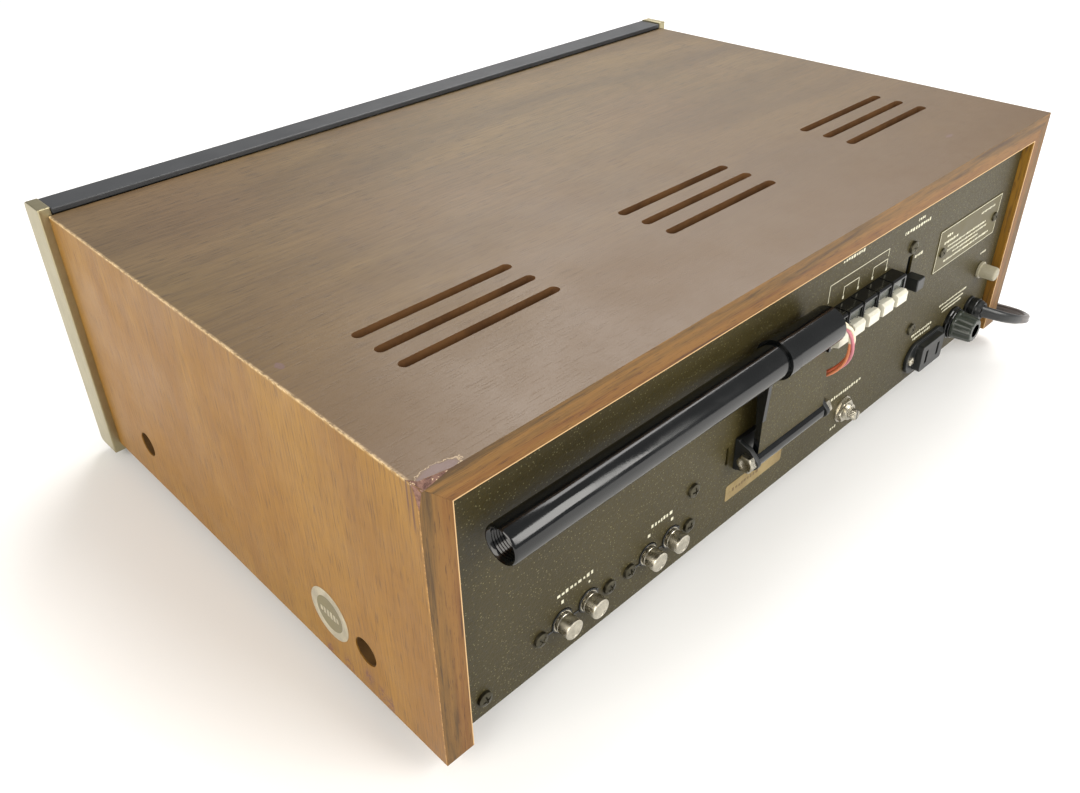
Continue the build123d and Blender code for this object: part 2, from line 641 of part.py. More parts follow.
with BuildPart() as antenna_mount:
    slab(
        (BARREL_X[0] - CLEAR - EAR, BARREL_X[1] + CLEAR + EAR),
        (PANEL_FACE, PANEL_FACE + 2), (PIVOT_Z - 8, PIVOT_Z + 9),
    )
    for x in (BARREL_X[0] - CLEAR - EAR, BARREL_X[1] + CLEAR):
        with BuildSketch(Plane.YZ.offset(x)):
            with BuildLine():
                Polyline(
                    (PANEL_FACE, PIVOT_Z + 9), (PIVOT_Y, PIVOT_Z + 6.2),
                    (PIVOT_Y + 6.2, PIVOT_Z), (PIVOT_Y, PIVOT_Z - 6.2),
                    (PANEL_FACE, PIVOT_Z - 8), close=True,
                )
            make_face()
        extrude(amount=EAR)
    ear_tips = antenna_mount.edges().filter_by(Axis.X).group_by(Axis.Y)[-1]
    fillet(ear_tips, 3)
    bar((BARREL_X[0] - 5, BARREL_X[1] + 5), PIVOT_Y, PIVOT_Z, BOLT_R + RUNNING, Mode.SUBTRACT)
write(antenna_mount, "antenna_mount")

HEAD_X = BARREL_X[1] + CLEAR + EAR
NUT_X = BARREL_X[0] - CLEAR - EAR
with BuildPart() as pivot_bolt:
    bar((NUT_X - 4, HEAD_X), PIVOT_Y, PIVOT_Z, BOLT_R)
    for x, thick in ((HEAD_X, 3.2), (NUT_X, -3.2)):
        with BuildSketch(Plane.YZ.offset(x)):
            with Locations((PIVOT_Y, PIVOT_Z)):
                RegularPolygon(4.0, 6, major_radius=False)
        extrude(amount=thick)
write(pivot_bolt, "pivot_bolt")

LEAD_ROUTE = [
    (12.0, BAR_Y + 0.3, BAR_Z + 0.6),
    (2.5, BAR_Y + 1.4, BAR_Z + 0.2),
    (-6.0, BAR_Y + 2.9, BAR_Z - 4.5),
    (-11.0, BAR_Y + 3.2, 92.5),
    (-13.5, BAR_Y + 1.4, 81.5),
    (-13.2, 153.0, 74.0),
    (-11.0, 147.5, 69.0),
    (LEAD_HOLE[0], 138.5, LEAD_HOLE[1]),
]
antenna_lead = tube_along(LEAD_ROUTE, LEAD_D, "antenna_lead")
write(antenna_lead, "antenna_lead")

# Antenna terminals: one block of five cells, each with a lever that opens its clamp
CELL_X = [BLOCK_X[1] - 1.15 - CELL_PITCH * (step + 0.5) + 0.6 for step in range(CELLS)]

with BuildPart() as terminal_block:
    slab(BLOCK_X, (PANEL_FACE, PANEL_FACE + BLOCK_D), BLOCK_Z)
    top_front = terminal_block.edges().filter_by(Axis.X).sort_by(Axis.Y)[-2:].sort_by(Axis.Z)[-1]
    chamfer(top_front, 0.8)
    slab((BLOCK_X[0] + 7, BLOCK_X[1] - 7), (PANEL_BACK - 6, PANEL_FACE), (83, 95))
    for x in CELL_X:
        cut_slab(
            (x - CELL_W / 2, x + CELL_W / 2), (PANEL_FACE + 2, PANEL_FACE + BLOCK_D + 1),
            (81, BLOCK_Z[1] - 1.6),
        )
write(terminal_block, "terminal_block")

for number, x in enumerate(CELL_X, start=1):
    with BuildPart() as terminal_lever:
        with BuildSketch(Plane.YZ.offset(x - LEVER_W / 2)):
            with BuildLine():
                Polyline(
                    (LEVER_PIVOT_Y - 1.5, LEVER_PIVOT_Z),
                    (LEVER_PIVOT_Y - 1.2, LEVER_Z[1] - 1),
                    (PANEL_FACE + LEVER_OUT - 1.5, LEVER_Z[1]),
                    (PANEL_FACE + LEVER_OUT, LEVER_Z[1] - 1.2),
                    (PANEL_FACE + LEVER_OUT, LEVER_Z[0]),
                    (PANEL_FACE + BLOCK_D, LEVER_Z[0] - 1),
                    (LEVER_PIVOT_Y + 1.5, LEVER_PIVOT_Z),
                    close=True,
                )
            make_face()
        extrude(amount=LEVER_W)
        bar((x - LEVER_W / 2, x + LEVER_W / 2), LEVER_PIVOT_Y, LEVER_PIVOT_Z, 1.8)
    write(terminal_lever, f"terminal_lever_{number}")

# Antenna selector slide switch
with BuildPart() as antenna_switch:
    body_z = (slot_z - 17, slot_z + 17)
    slab((SWITCH_AT[0] - 7, SWITCH_AT[0] + 7), (PANEL_BACK - 13, PANEL_BACK), body_z)
    cut_slab(
        (SWITCH_AT[0] - 3, SWITCH_AT[0] + 3), (PANEL_BACK - 5, PANEL_BACK + 1),
        (slot_z - slot_h / 2, slot_z + slot_h / 2),
    )
write(antenna_switch, "antenna_switch")

with BuildPart() as antenna_switch_knob:
    slab(
        (SWITCH_AT[0] - 3.6, SWITCH_AT[0] + 3.6), (PANEL_FACE + CLEAR, PANEL_FACE + 8),
        (SWITCH_AT[1] - 2.2, SWITCH_AT[1] + 4.4),
    )
    fillet(antenna_switch_knob.edges().group_by(Axis.Y)[-1], 0.6)
    slab(
        (SWITCH_AT[0] - 2, SWITCH_AT[0] + 2), (PANEL_BACK - 4, PANEL_FACE + CLEAR),
        (SWITCH_AT[1] - 1.5, SWITCH_AT[1] + 3),
    )
write(antenna_switch_knob, "antenna_switch_knob")

# Muting level control
with BuildPart() as muting_pot:
    rod(POT_AT, (PANEL_BACK - 10, PANEL_BACK), 8)
    rod(POT_AT, (PANEL_BACK, PANEL_FACE + 5), 4.5)
    with BuildSketch(upright(PANEL_FACE)):
        with Locations(POT_AT):
            RegularPolygon(5.5, 6, major_radius=False)
    extrude(amount=-2.4)
    rod(POT_AT, (PANEL_BACK - 8, PANEL_FACE + 6), POT_SHAFT_R + RUNNING, Mode.SUBTRACT)
write(muting_pot, "muting_pot")

with BuildPart() as muting_shaft:
    rod(POT_AT, (PANEL_BACK - 7, PANEL_FACE + POT_SHAFT_OUT), POT_SHAFT_R)
    cut_slab(
        (POT_AT[0] - 0.5, POT_AT[0] + 0.5), (PANEL_FACE + POT_SHAFT_OUT - 2, PANEL_FACE + POT_SHAFT_OUT + 1),
        (POT_AT[1] - 4, POT_AT[1] + 4),
    )
write(muting_shaft, "muting_shaft")

# Fuse holder and its cap
with BuildPart() as fuse_holder:
    rod(FUSE_AT, (PANEL_FACE, PANEL_FACE + 2), 9.6)
    rod(FUSE_AT, (PANEL_FACE + 2, PANEL_FACE + 3.5), 8.9)
    rod(FUSE_AT, (PANEL_BACK - 30, PANEL_FACE), 6.3)
    rod(FUSE_AT, (PANEL_BACK - 28, PANEL_FACE + 4), 4.6, Mode.SUBTRACT)
write(fuse_holder, "fuse_holder")

with BuildPart() as fuse_cap:
    rod(FUSE_AT, (PANEL_FACE + 3.8, PANEL_FACE + 15), 8.2)
    fillet(fuse_cap.edges().filter_by(GeomType.CIRCLE).group_by(Axis.Y)[-1], 1)
    rod(FUSE_AT, (PANEL_BACK - 20, PANEL_FACE + 3.8), 4.5)
write(fuse_cap, "fuse_cap")

with BuildPart() as ground_screw:
    rod(GROUND_AT, (PANEL_FACE + CLEAR, PANEL_FACE + 1.6), 5)
    rod(GROUND_AT, (PANEL_FACE + 1.6, PANEL_FACE + 10), 4.1)
    fillet(ground_screw.edges().filter_by(GeomType.CIRCLE).group_by(Axis.Y)[-1], 0.8)
    rod(GROUND_AT, (PANEL_BACK - 6, PANEL_FACE + CLEAR), 2.1)
write(ground_screw, "ground_screw")

# Phono sockets on their plates, and the shorting caps pushed onto them
with BuildPart() as phono_sockets:
    for pair_x in JACK_PAIR_X:
        slab((pair_x - 26, pair_x + 26), (PANEL_BACK - 1.8, PANEL_BACK - 0.2), (23, 42))
    for x in JACK_X:
        at = (x, JACK_Z)
        rod(at, (PANEL_BACK - 12, PANEL_FACE + JACK_LENGTH), JACK_R)
        rod(at, (PANEL_FACE, PANEL_FACE + JACK_LENGTH + 1), JACK_BORE_R, Mode.SUBTRACT)
write(phono_sockets, "phono_sockets")

for number, x in enumerate(sorted(JACK_X, reverse=True), start=1):
    at = (x, JACK_Z)
    cap_y = (PANEL_FACE + CAP_GAP, PANEL_FACE + CAP_GAP + CAP_LENGTH)
    with BuildPart() as shorting_cap:
        rod(at, cap_y, CAP_R)
        fillet(shorting_cap.edges().filter_by(GeomType.CIRCLE).group_by(Axis.Y)[-1], 0.7)
        rod(at, (cap_y[0] - 1, PANEL_FACE + JACK_LENGTH + 0.3), JACK_R + RUNNING, Mode.SUBTRACT)
        rod(at, (cap_y[0] + 1, cap_y[1] - 1), JACK_BORE_R - RUNNING)
    write(shorting_cap, f"shorting_cap_{number}")

# Convenience outlet and the mains lead's bushing
with BuildPart() as ac_outlet:
    with BuildSketch(upright(PANEL_FACE)):
        with Locations(OUTLET_AT):
            SlotOverall(42, 19)
    extrude(amount=-2)
    with BuildSketch(upright(PANEL_FACE)):
        with Locations(OUTLET_AT):
            RectangleRounded(25, 16, 2)
    extrude(amount=-6)
    slab((OUTLET_AT[0] - 13, OUTLET_AT[0] + 13), (PANEL_BACK - 16, PANEL_FACE), (19.5, 35.5))
    with BuildSketch(upright(PANEL_FACE + 6)):
        with Locations(OUTLET_AT):
            with GridLocations(12.7, 1, 2, 1):
                Rectangle(2.2, 8)
    extrude(amount=16, mode=Mode.SUBTRACT)
write(ac_outlet, "ac_outlet")

with BuildPart() as cord_bushing:
    rod(BUSHING_AT, (PANEL_FACE, PANEL_FACE + BUSHING_OUT), BUSHING_R)
    chamfer(cord_bushing.edges().filter_by(GeomType.CIRCLE).group_by(Axis.Y)[-1], 2, 1.4)
    rod(BUSHING_AT, (PANEL_BACK - 5, PANEL_FACE), 5.0)
write(cord_bushing, "cord_bushing")

# Mains cord, its coil and its plug
mains_cord = tube_along(CORD_ROUTE, CORD_D, "mains_cord")
cord_tail = tube_along(TAIL_ROUTE, CORD_D, "cord_tail")
with BuildPart() as whole_cord:
    add(mains_cord.part)
    add(cord_tail.part)
write(whole_cord, "mains_cord")

with BuildPart() as cord_coil:
    with BuildSketch(Plane.XY):
        with Locations(COIL_AT):
            Circle(COIL_R + COIL_W / 2)
            Circle(COIL_R - COIL_W / 2, mode=Mode.SUBTRACT)
    extrude(amount=COIL_H)
    fillet(cord_coil.edges().filter_by(GeomType.CIRCLE).group_by(Axis.Z)[-1], 3)
write(cord_coil, "cord_coil")

tail_end = Vector(*TAIL_ROUTE[-1])
tail_way = (tail_end - Vector(*TAIL_ROUTE[-2])).normalized()
plug_turn = math.degrees(math.atan2(tail_way.Y, tail_way.X))
plug_plane = Plane(
    origin=(tail_end.X, tail_end.Y, PLUG_BODY[2] / 2),
    x_dir=(-math.sin(math.radians(plug_turn)), math.cos(math.radians(plug_turn)), 0),
    z_dir=(math.cos(math.radians(plug_turn)), math.sin(math.radians(plug_turn)), 0),
)
with BuildPart() as mains_plug:
    with BuildSketch(plug_plane):
        RectangleRounded(PLUG_BODY[0], PLUG_BODY[2], 4)
    extrude(amount=PLUG_BODY[1])
    with BuildSketch(plug_plane.offset(PLUG_BODY[1])):
        with GridLocations(PLUG_BLADE_X * 2, 1, 2, 1):
            Rectangle(PLUG_BLADE[0], PLUG_BLADE[2])
    extrude(amount=PLUG_BLADE[1])
write(mains_plug, "mains_plug")
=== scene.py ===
import json
import math
import random

import bmesh
import bpy
from mathutils import Matrix, Vector


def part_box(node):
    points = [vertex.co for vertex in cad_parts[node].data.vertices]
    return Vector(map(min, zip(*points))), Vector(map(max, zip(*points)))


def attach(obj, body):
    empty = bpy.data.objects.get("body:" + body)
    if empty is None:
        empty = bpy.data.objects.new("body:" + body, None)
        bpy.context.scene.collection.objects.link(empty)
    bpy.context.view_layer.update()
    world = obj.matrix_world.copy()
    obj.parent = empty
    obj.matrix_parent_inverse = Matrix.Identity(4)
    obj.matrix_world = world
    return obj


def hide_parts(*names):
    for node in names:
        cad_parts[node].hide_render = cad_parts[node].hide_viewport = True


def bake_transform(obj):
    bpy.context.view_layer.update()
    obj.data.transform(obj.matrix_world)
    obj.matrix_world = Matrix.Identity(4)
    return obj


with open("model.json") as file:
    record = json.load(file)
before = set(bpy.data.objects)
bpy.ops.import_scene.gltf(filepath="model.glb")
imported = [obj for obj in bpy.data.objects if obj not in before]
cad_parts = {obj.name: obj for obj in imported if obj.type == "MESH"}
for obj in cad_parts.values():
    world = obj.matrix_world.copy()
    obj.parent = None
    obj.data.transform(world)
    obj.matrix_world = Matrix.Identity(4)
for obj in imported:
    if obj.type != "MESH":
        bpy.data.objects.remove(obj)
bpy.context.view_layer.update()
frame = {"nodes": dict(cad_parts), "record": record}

# A stereo tuner in a wooden case, seen from behind. Metres, +Z up, the back to +Y.
MM = 0.001

# Places read from the frame
CASE_LOW, CASE_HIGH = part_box("case_top")
CASE_TOP = CASE_HIGH.z
CASE_SIDE = CASE_HIGH.x
CASE_BACK = CASE_HIGH.y
CASE_FRONT = CASE_LOW.y
BOARD = CASE_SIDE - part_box("case_side_right")[0].x
PANEL_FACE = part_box("rear_panel")[1].y


def middle(node):
    """The middle of a CAD node's box."""
    low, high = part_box(node)
    return (low + high) / 2


# ---------------------------------------------------------------- camera, floor and light

CAMERA_AT = Vector((0.3428, 0.3292, 0.3243))
CAMERA_AZIMUTH = math.radians(137.47)
CAMERA_ELEVATION = math.radians(33.45)
CAMERA_ROLL = math.radians(-1.82)
CAMERA_LENS = 32.37
CAMERA_SHIFT = (0.0179, -0.0249)
FLOOR_REACH = 6.0
SKY_STRENGTH = 0.42
# name, place, target, size, power and tint of each soft light
LIGHTS = (
    ("window_light", (-0.9, -0.6, 1.5), (0, 0, 0.1), 1.3, 30, (1.0, 0.98, 0.96)),
    ("side_light", (1.5, 0.3, 0.7), (0.2, 0, 0.08), 1.2, 24, (1.0, 0.96, 0.88)),
    ("rear_light", (-0.5, 1.5, 1.0), (0, 0.15, 0.08), 1.0, 26, (1.0, 0.98, 0.94)),
)


def add_camera():
    """The camera behind and above the +X rear corner, with the photograph's slight roll."""
    back = Vector((
        math.sin(CAMERA_AZIMUTH) * math.cos(CAMERA_ELEVATION),
        -math.cos(CAMERA_AZIMUTH) * math.cos(CAMERA_ELEVATION),
        math.sin(CAMERA_ELEVATION),
    ))
    level = Vector((0, 0, 1)).cross(back).normalized()
    upward = back.cross(level)
    right = level * math.cos(CAMERA_ROLL) + upward * math.sin(CAMERA_ROLL)
    up = upward * math.cos(CAMERA_ROLL) - level * math.sin(CAMERA_ROLL)
    camera = bpy.data.objects.new("camera", bpy.data.cameras.new("camera"))
    bpy.context.scene.collection.objects.link(camera)
    camera.matrix_world = Matrix((
        (right.x, up.x, back.x, CAMERA_AT.x),
        (right.y, up.y, back.y, CAMERA_AT.y),
        (right.z, up.z, back.z, CAMERA_AT.z),
        (0, 0, 0, 1),
    ))
    camera.data.sensor_width = 36
    camera.data.lens = CAMERA_LENS
    camera.data.shift_x, camera.data.shift_y = CAMERA_SHIFT
    camera.data.clip_start = 0.01
    bpy.context.scene.camera = camera
    bpy.context.scene.view_settings.view_transform = "Standard"


def add_light(name, at, target, size, power, tint):
    """A soft square area light at a point, aimed at another."""
    light = bpy.data.lights.new(name, "AREA")
    light.size = size
    light.energy = power
    light.color = tint
    holder = bpy.data.objects.new(name, light)
    bpy.context.scene.collection.objects.link(holder)
    holder.location = at
    way = Vector(target) - Vector(at)
    holder.rotation_euler = way.to_track_quat("-Z", "Y").to_euler()


def add_stage():
    """A pale floor, a pale sky and three soft lights."""
    floor_material = bpy.data.materials.new("floor")
    floor_material.use_nodes = True
    shader = floor_material.node_tree.nodes["Principled BSDF"]
    shader.inputs["Base Color"].default_value = (0.92, 0.92, 0.92, 1)
    shader.inputs["Roughness"].default_value = 0.9
    mesh = bpy.data.meshes.new("floor")
    corners = [(x * FLOOR_REACH, y * FLOOR_REACH, 0) for x, y in ((-1, -1), (1, -1), (1, 1), (-1, 1))]
    mesh.from_pydata(corners, [], [(0, 1, 2, 3)])
    floor = bpy.data.objects.new("floor", mesh)
    floor.data.materials.append(floor_material)
    bpy.context.scene.collection.objects.link(floor)
    world = bpy.data.worlds.new("sky")
    bpy.context.scene.world = world
    world.use_nodes = True
    sky = world.node_tree.nodes["Background"]
    sky.inputs["Color"].default_value = (1.0, 1.0, 1.0, 1)
    sky.inputs["Strength"].default_value = SKY_STRENGTH
    for light in LIGHTS:
        add_light(*light)


add_camera()
add_stage()

# ---------------------------------------------------------------- mesh helpers


def placed(name, shape):
    """A bmesh as a new object in the scene."""
    mesh = bpy.data.meshes.new(name)
    shape.to_mesh(mesh)
    shape.free()
    piece = bpy.data.objects.new(name, mesh)
    bpy.context.scene.collection.objects.link(piece)
    return piece


def new_piece(name, body, build, material, smooth=True):
    """A mesh piece made by build(bmesh), riding on a body. Its place is in its vertices."""
    shape = bmesh.new()
    build(shape)
    bmesh.ops.recalc_face_normals(shape, faces=shape.faces)
    piece = placed(name, shape)
    if material:
        piece.data.materials.append(material)
    if smooth:
        soften(piece.data)
    if body:
        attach(piece, body)
    return piece


def soften(mesh, angle=35):
    """Smooth shading with sharp edges where two faces meet at more than an angle."""
    mesh.shade_smooth()
    mesh.set_sharp_from_angle(angle=math.radians(angle))


def flatten(piece):
    """Lets the large faces keep flat shading where rounded edges meet them."""
    weighted = piece.modifiers.new("flatten", "WEIGHTED_NORMAL")
    weighted.weight = 100
    weighted.keep_sharp = True


def add_box(shape, low, high, bevel=0.0, segments=2):
    """A box from one corner to another, its edges rounded."""
    low, high = Vector(low), Vector(high)
    made = bmesh.ops.create_cube(shape, size=1)["verts"]
    size = high - low
    for vertex in made:
        vertex.co = low + Vector(
            ((vertex.co[i] + 0.5) * size[i] for i in range(3))
        )
    if bevel:
        edges = {edge for vertex in made for edge in vertex.link_edges}
        bmesh.ops.bevel(
            shape, geom=list(edges), offset=bevel, segments=segments, profile=0.6,
            affect="EDGES",
        )


def frame_along(way):
    """A rotation whose Z axis points along a direction."""
    return Vector(way).to_track_quat("Z", "Y").to_matrix()


def millimetres(profile):
    """A profile given in millimetres, as metres."""
    return [(radius * MM, height * MM) for radius, height in profile]


def join_rings(shape, first, second):
    """Four-sided faces between two closed rings with as many vertices each."""
    for step in range(len(first)):
        following = (step + 1) % len(first)
        shape.faces.new((first[step], first[following], second[following], second[step]))


def add_turned(shape, at, way, profile, sides=48):
    """A turned solid about an axis: profile is a list of (radius, height) from the start to the end."""
    turn = frame_along(way)
    rings = []
    for radius, height in profile:
        ring = []
        if radius < 1e-6:
            ring.append(shape.verts.new(Vector(at) + turn @ Vector((0, 0, height))))
        else:
            for step in range(sides):
                angle = 2 * math.pi * step / sides
                spot = Vector((radius * math.cos(angle), radius * math.sin(angle), height))
                ring.append(shape.verts.new(Vector(at) + turn @ spot))
        rings.append(ring)
    for first, second in zip(rings, rings[1:]):
        if len(first) == 1 and len(second) == 1:
            continue
        for step in range(sides):
            following = (step + 1) % sides
            if len(first) == 1:
                shape.faces.new((first[0], second[step], second[following]))
            elif len(second) == 1:
                shape.faces.new((first[step], second[0], first[following]))
            else:
                shape.faces.new(
                    (first[step], second[step], second[following], first[following])
                )


def add_prism(shape, outline, at, way, thick, across=None):
    """An outline in the plane square to way, pushed out by thick. Outline x follows across."""
    forward = Vector(way).normalized()
    side = Vector(across) if across else forward.orthogonal().normalized()
    upward = forward.cross(side)
    base = [Vector(at) + side * x + upward * y for x, y in outline]
    low = [shape.verts.new(point) for point in base]
    high = [shape.verts.new(point + forward * thick) for point in base]
    shape.faces.new(low[::-1])
    shape.faces.new(high)
    for step in range(len(outline)):
        following = (step + 1) % len(outline)
        shape.faces.new((low[step], low[following], high[following], high[step]))


# ---------------------------------------------------------------- material helpers


class Nodes:
    """A material's node tree with short calls for the nodes that the finishes use."""

    def __init__(self, name, **sockets):
        self.material = bpy.data.materials.new(name)
        self.material.use_nodes = True
        self.tree = self.material.node_tree
        self.shader = self.tree.nodes["Principled BSDF"]
        for socket, value in sockets.items():
            self.shader.inputs[socket.replace("_", " ")].default_value = value
        self.place = self.add("ShaderNodeTexCoord").outputs["Object"]

    def add(self, kind, **settings):
        made = self.tree.nodes.new(kind)
        for name, value in settings.items():
            setattr(made, name, value)
        return made

    def feed(self, socket, value):
        """Links a node's output to a socket, or sets the socket's own value."""
        if isinstance(value, bpy.types.NodeSocket):
            self.tree.links.new(value, socket)
        else:
            socket.default_value = value

    def drawn(self, along, long, short):
        """The place scaled by long on one axis and short on the others, for fibres and brush marks."""
        mapping = self.add("ShaderNodeMapping")
        mapping.inputs["Scale"].default_value = [long if letter == along else short for letter in "XYZ"]
        self.feed(mapping.inputs["Vector"], self.place)
        return mapping.outputs["Vector"]

    def noise(self, scale, detail=4.0, rough=0.55, vector=None, bend=0.0):
        texture = self.add("ShaderNodeTexNoise")
        self.feed(texture.inputs["Vector"], vector or self.place)
        texture.inputs["Scale"].default_value = scale
        texture.inputs["Detail"].default_value = detail
        texture.inputs["Roughness"].default_value = rough
        texture.inputs["Distortion"].default_value = bend
        return texture.outputs["Fac"]

    def cells(self, scale):
        texture = self.add("ShaderNodeTexVoronoi")
        self.feed(texture.inputs["Vector"], self.place)
        texture.inputs["Scale"].default_value = scale
        return texture.outputs["Distance"]

    def ramp(self, amount, *stops):
        """A colour ramp; each stop is (position, grey) or (position, (r, g, b))."""
        ramp = self.add("ShaderNodeValToRGB")
        elements = ramp.color_ramp.elements
        while len(elements) < len(stops):
            elements.new(0.5)
        for element, (position, value) in zip(elements, stops):
            element.position = position
            colour = (value,) * 3 if isinstance(value, (int, float)) else value
            element.color = (*colour, 1)
        self.feed(ramp.inputs["Fac"], amount)
        return ramp.outputs["Color"]

    def mix(self, amount, first, second):
        mixer = self.add("ShaderNodeMix", data_type="RGBA")
        self.feed(mixer.inputs["Factor"], amount)
        for index, value in ((6, first), (7, second)):
            if isinstance(value, tuple) and len(value) == 3:
                value = (*value, 1)
            self.feed(mixer.inputs[index], value)
        return mixer.outputs[2]

    def layer(self, base, colour, amount, *stops):
        """A colour laid over another as a ramp of an amount says."""
        return self.mix(self.ramp(amount, *stops), base, colour)

    def sum(self, operation, first, second=0.0, third=0.0):
        maths = self.add("ShaderNodeMath", operation=operation)
        for socket, value in zip(maths.inputs, (first, second, third)):
            self.feed(socket, value)
        return maths.outputs["Value"]

    def axis(self, letter):
        """The place along X, Y or Z, in metres."""
        split = self.add("ShaderNodeSeparateXYZ")
        self.feed(split.inputs["Vector"], self.place)
        return split.outputs[letter]

    def near(self, letter, value, reach):
        """One at a place along an axis, falling to nought at a distance from it."""
        away = self.sum("ABSOLUTE", self.sum("SUBTRACT", self.axis(letter), value))
        return self.sum("SUBTRACT", 1.0, self.sum("MINIMUM", self.sum("DIVIDE", away, reach), 1.0))

    def worn(self, letter, value, reach, amount, *stops):
        """A line at a place along an axis, broken up as a ramp of an amount says."""
        return self.sum("MULTIPLY", self.near(letter, value, reach), self.ramp(amount, *stops))

    def bump(self, height, strength, depth):
        bump = self.add("ShaderNodeBump")
        bump.inputs["Strength"].default_value = strength
        bump.inputs["Distance"].default_value = depth
        self.feed(bump.inputs["Height"], height)
        self.feed(self.shader.inputs["Normal"], bump.outputs["Normal"])

    def colour(self, value):
        self.feed(self.shader.inputs["Base Color"], value)

    def rough(self, value):
        self.feed(self.shader.inputs["Roughness"], value)


# ---------------------------------------------------------------- cords

CORD_D = 5.2 * MM
# The mains cord's first loop, repeated from part.py: out of the bushing, over the edge, round the side
CORD_START = [
    (-0.1862, 0.1513, 0.0328), (-0.1930, 0.1603, 0.0296), (-0.2040, 0.1658, 0.0250),
    (-0.2180, 0.1673, 0.0195), (-0.2320, 0.1648, 0.0135), (-0.2435, 0.1568, 0.0085),
    (-0.2495, 0.1453, 0.0050), (-0.2500, 0.1310, 0.0034), (-0.2470, 0.1140, 0.0030),
    (-0.2465, 0.0960, 0.0031), (-0.2510, 0.0790, 0.0030), (-0.2580, 0.0630, 0.0029),
]
COIL_AT = (-0.290, 0.040)
COIL_RADII = (0.0336, 0.0284)
# Which radius and layer each turn of the coil lies on, from the floor up
COIL_TURNS = ((0, 0), (1, 0), (1, 1), (0, 1), (0, 2), (1, 2), (1, 3), (0, 3))
COIL_POINTS = 14
CORD_TAIL = [
    (-0.2575, 0.0030, 0.0165), (-0.2570, -0.0150, 0.0110),
    (-0.2595, -0.0320, 0.0075), (-0.2640, -0.0480, 0.0072),
]


def coil_points():
    """The coil's control points, clockwise from above, stepping between two radii and four layers."""
    points = []
    spins = len(COIL_TURNS)
    steps = spins * COIL_POINTS
    for step in range(steps + 1):
        turn = min(step / COIL_POINTS, spins - 0.001)
        at, part = int(turn), turn - int(turn)
        following = min(at + 1, spins - 1)
        blend = max(0.0, (part - 0.72) / 0.28)
        blend = blend * blend * (3 - 2 * blend)
        radius = COIL_RADII[COIL_TURNS[at][0]] * (1 - blend) + COIL_RADII[COIL_TURNS[following][0]] * blend
        layer = COIL_TURNS[at][1] * (1 - blend) + COIL_TURNS[following][1] * blend
        angle = math.radians(12) - 2 * math.pi * step / COIL_POINTS
        points.append((
            COIL_AT[0] + radius * math.cos(angle),
            COIL_AT[1] + radius * math.sin(angle),
            0.0029 + CORD_D * layer,
        ))
    return points


def read_route(points, resolution):
    """The NURBS line through a route's control points, as a list of vectors."""
    curve = bpy.data.curves.new("route", "CURVE")
    curve.dimensions = "3D"
    spline = curve.splines.new("NURBS")
    spline.points.add(len(points) - 1)
    for point, place in zip(spline.points, points):
        point.co = (*place, 1)
    spline.order_u = 3
    spline.use_endpoint_u = True
    spline.resolution_u = resolution
    holder = bpy.data.objects.new("route", curve)
    bpy.context.scene.collection.objects.link(holder)
    mesh = bpy.data.meshes.new_from_object(holder)
    line = [vertex.co.copy() for vertex in mesh.vertices]
    bpy.data.objects.remove(holder)
    bpy.data.curves.remove(curve)
    bpy.data.meshes.remove(mesh)
    return line


def tangents(line):
    """The direction of travel at each point of a line."""
    ways = []
    for step in range(len(line)):
        before, after = line[max(step - 1, 0)], line[min(step + 1, len(line) - 1)]
        ways.append((after - before).normalized())
    return ways


def sweep(shape, line, outline, up=Vector((0, 0, 1))):
    """An outline carried along a line, its second axis kept as near upright as it can be."""
    rings = []
    for place, way in zip(line, tangents(line)):
        side = way.cross(up).normalized()
        top = side.cross(way)
        rings.append([shape.verts.new(place + side * x + top * y) for x, y in outline])
    for first, second in zip(rings, rings[1:]):
        join_rings(shape, first, second)
    shape.faces.new(rings[0][::-1])
    shape.faces.new(rings[-1])


def twin_outline(width, thick, sides=10):
    """The section of a flat twin cord: two round cores side by side with a groove between them."""
    radius = thick / 2
    offset = width / 2 - radius
    points = []
    for centre, start in ((offset, -35), (-offset, 145)):
        for step in range(sides):
            angle = math.radians(start + 250 * step / (sides - 1))
            points.append((radius * math.cos(angle), centre + radius * math.sin(angle)))
    return points


CORD_LINE = read_route(CORD_START + coil_points() + CORD_TAIL, 5)
mains_lead = new_piece(
    "mains_lead", "chassis",
    lambda shape: sweep(shape, CORD_LINE, twin_outline(CORD_D, 2.9 * MM)), None,
)
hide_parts("mains_cord", "cord_coil")

def build_relief(shape):
    """A tapered strain relief round the first centimetres of the mains cord."""
    line = CORD_LINE[:11]
    sides = 20
    rings = []
    run = 0.0
    for step, (place, way) in enumerate(zip(line, tangents(line))):
        if step:
            run += (place - line[step - 1]).length
        rings.append((place, way, run))
    whole = rings[-1][2]
    previous = None
    for step in range(41):
        share = step / 40
        target = share * whole
        index = max(i for i, ring in enumerate(rings) if ring[2] <= target + 1e-9)
        index = min(index, len(rings) - 2)
        first, second = rings[index], rings[index + 1]
        mix = (target - first[2]) / max(second[2] - first[2], 1e-9)
        place = first[0].lerp(second[0], mix)
        way = first[1].lerp(second[1], mix).normalized()
        side = way.cross(Vector((0, 0, 1))).normalized()
        top = side.cross(way)
        wide = (1.6 + (1 - share) * 1.1) * MM
        tall = (2.7 + (1 - share) * 0.9) * MM
        ring = []
        for turn in range(sides):
            angle = 2 * math.pi * turn / sides
            ring.append(shape.verts.new(
                place + side * wide * math.cos(angle) + top * tall * math.sin(angle)
            ))
        if previous:
            join_rings(shape, previous, ring)
        else:
            shape.faces.new(ring[::-1])
        previous = ring
    shape.faces.new(previous)


strain_relief = new_piece("strain_relief", "chassis", build_relief, None)
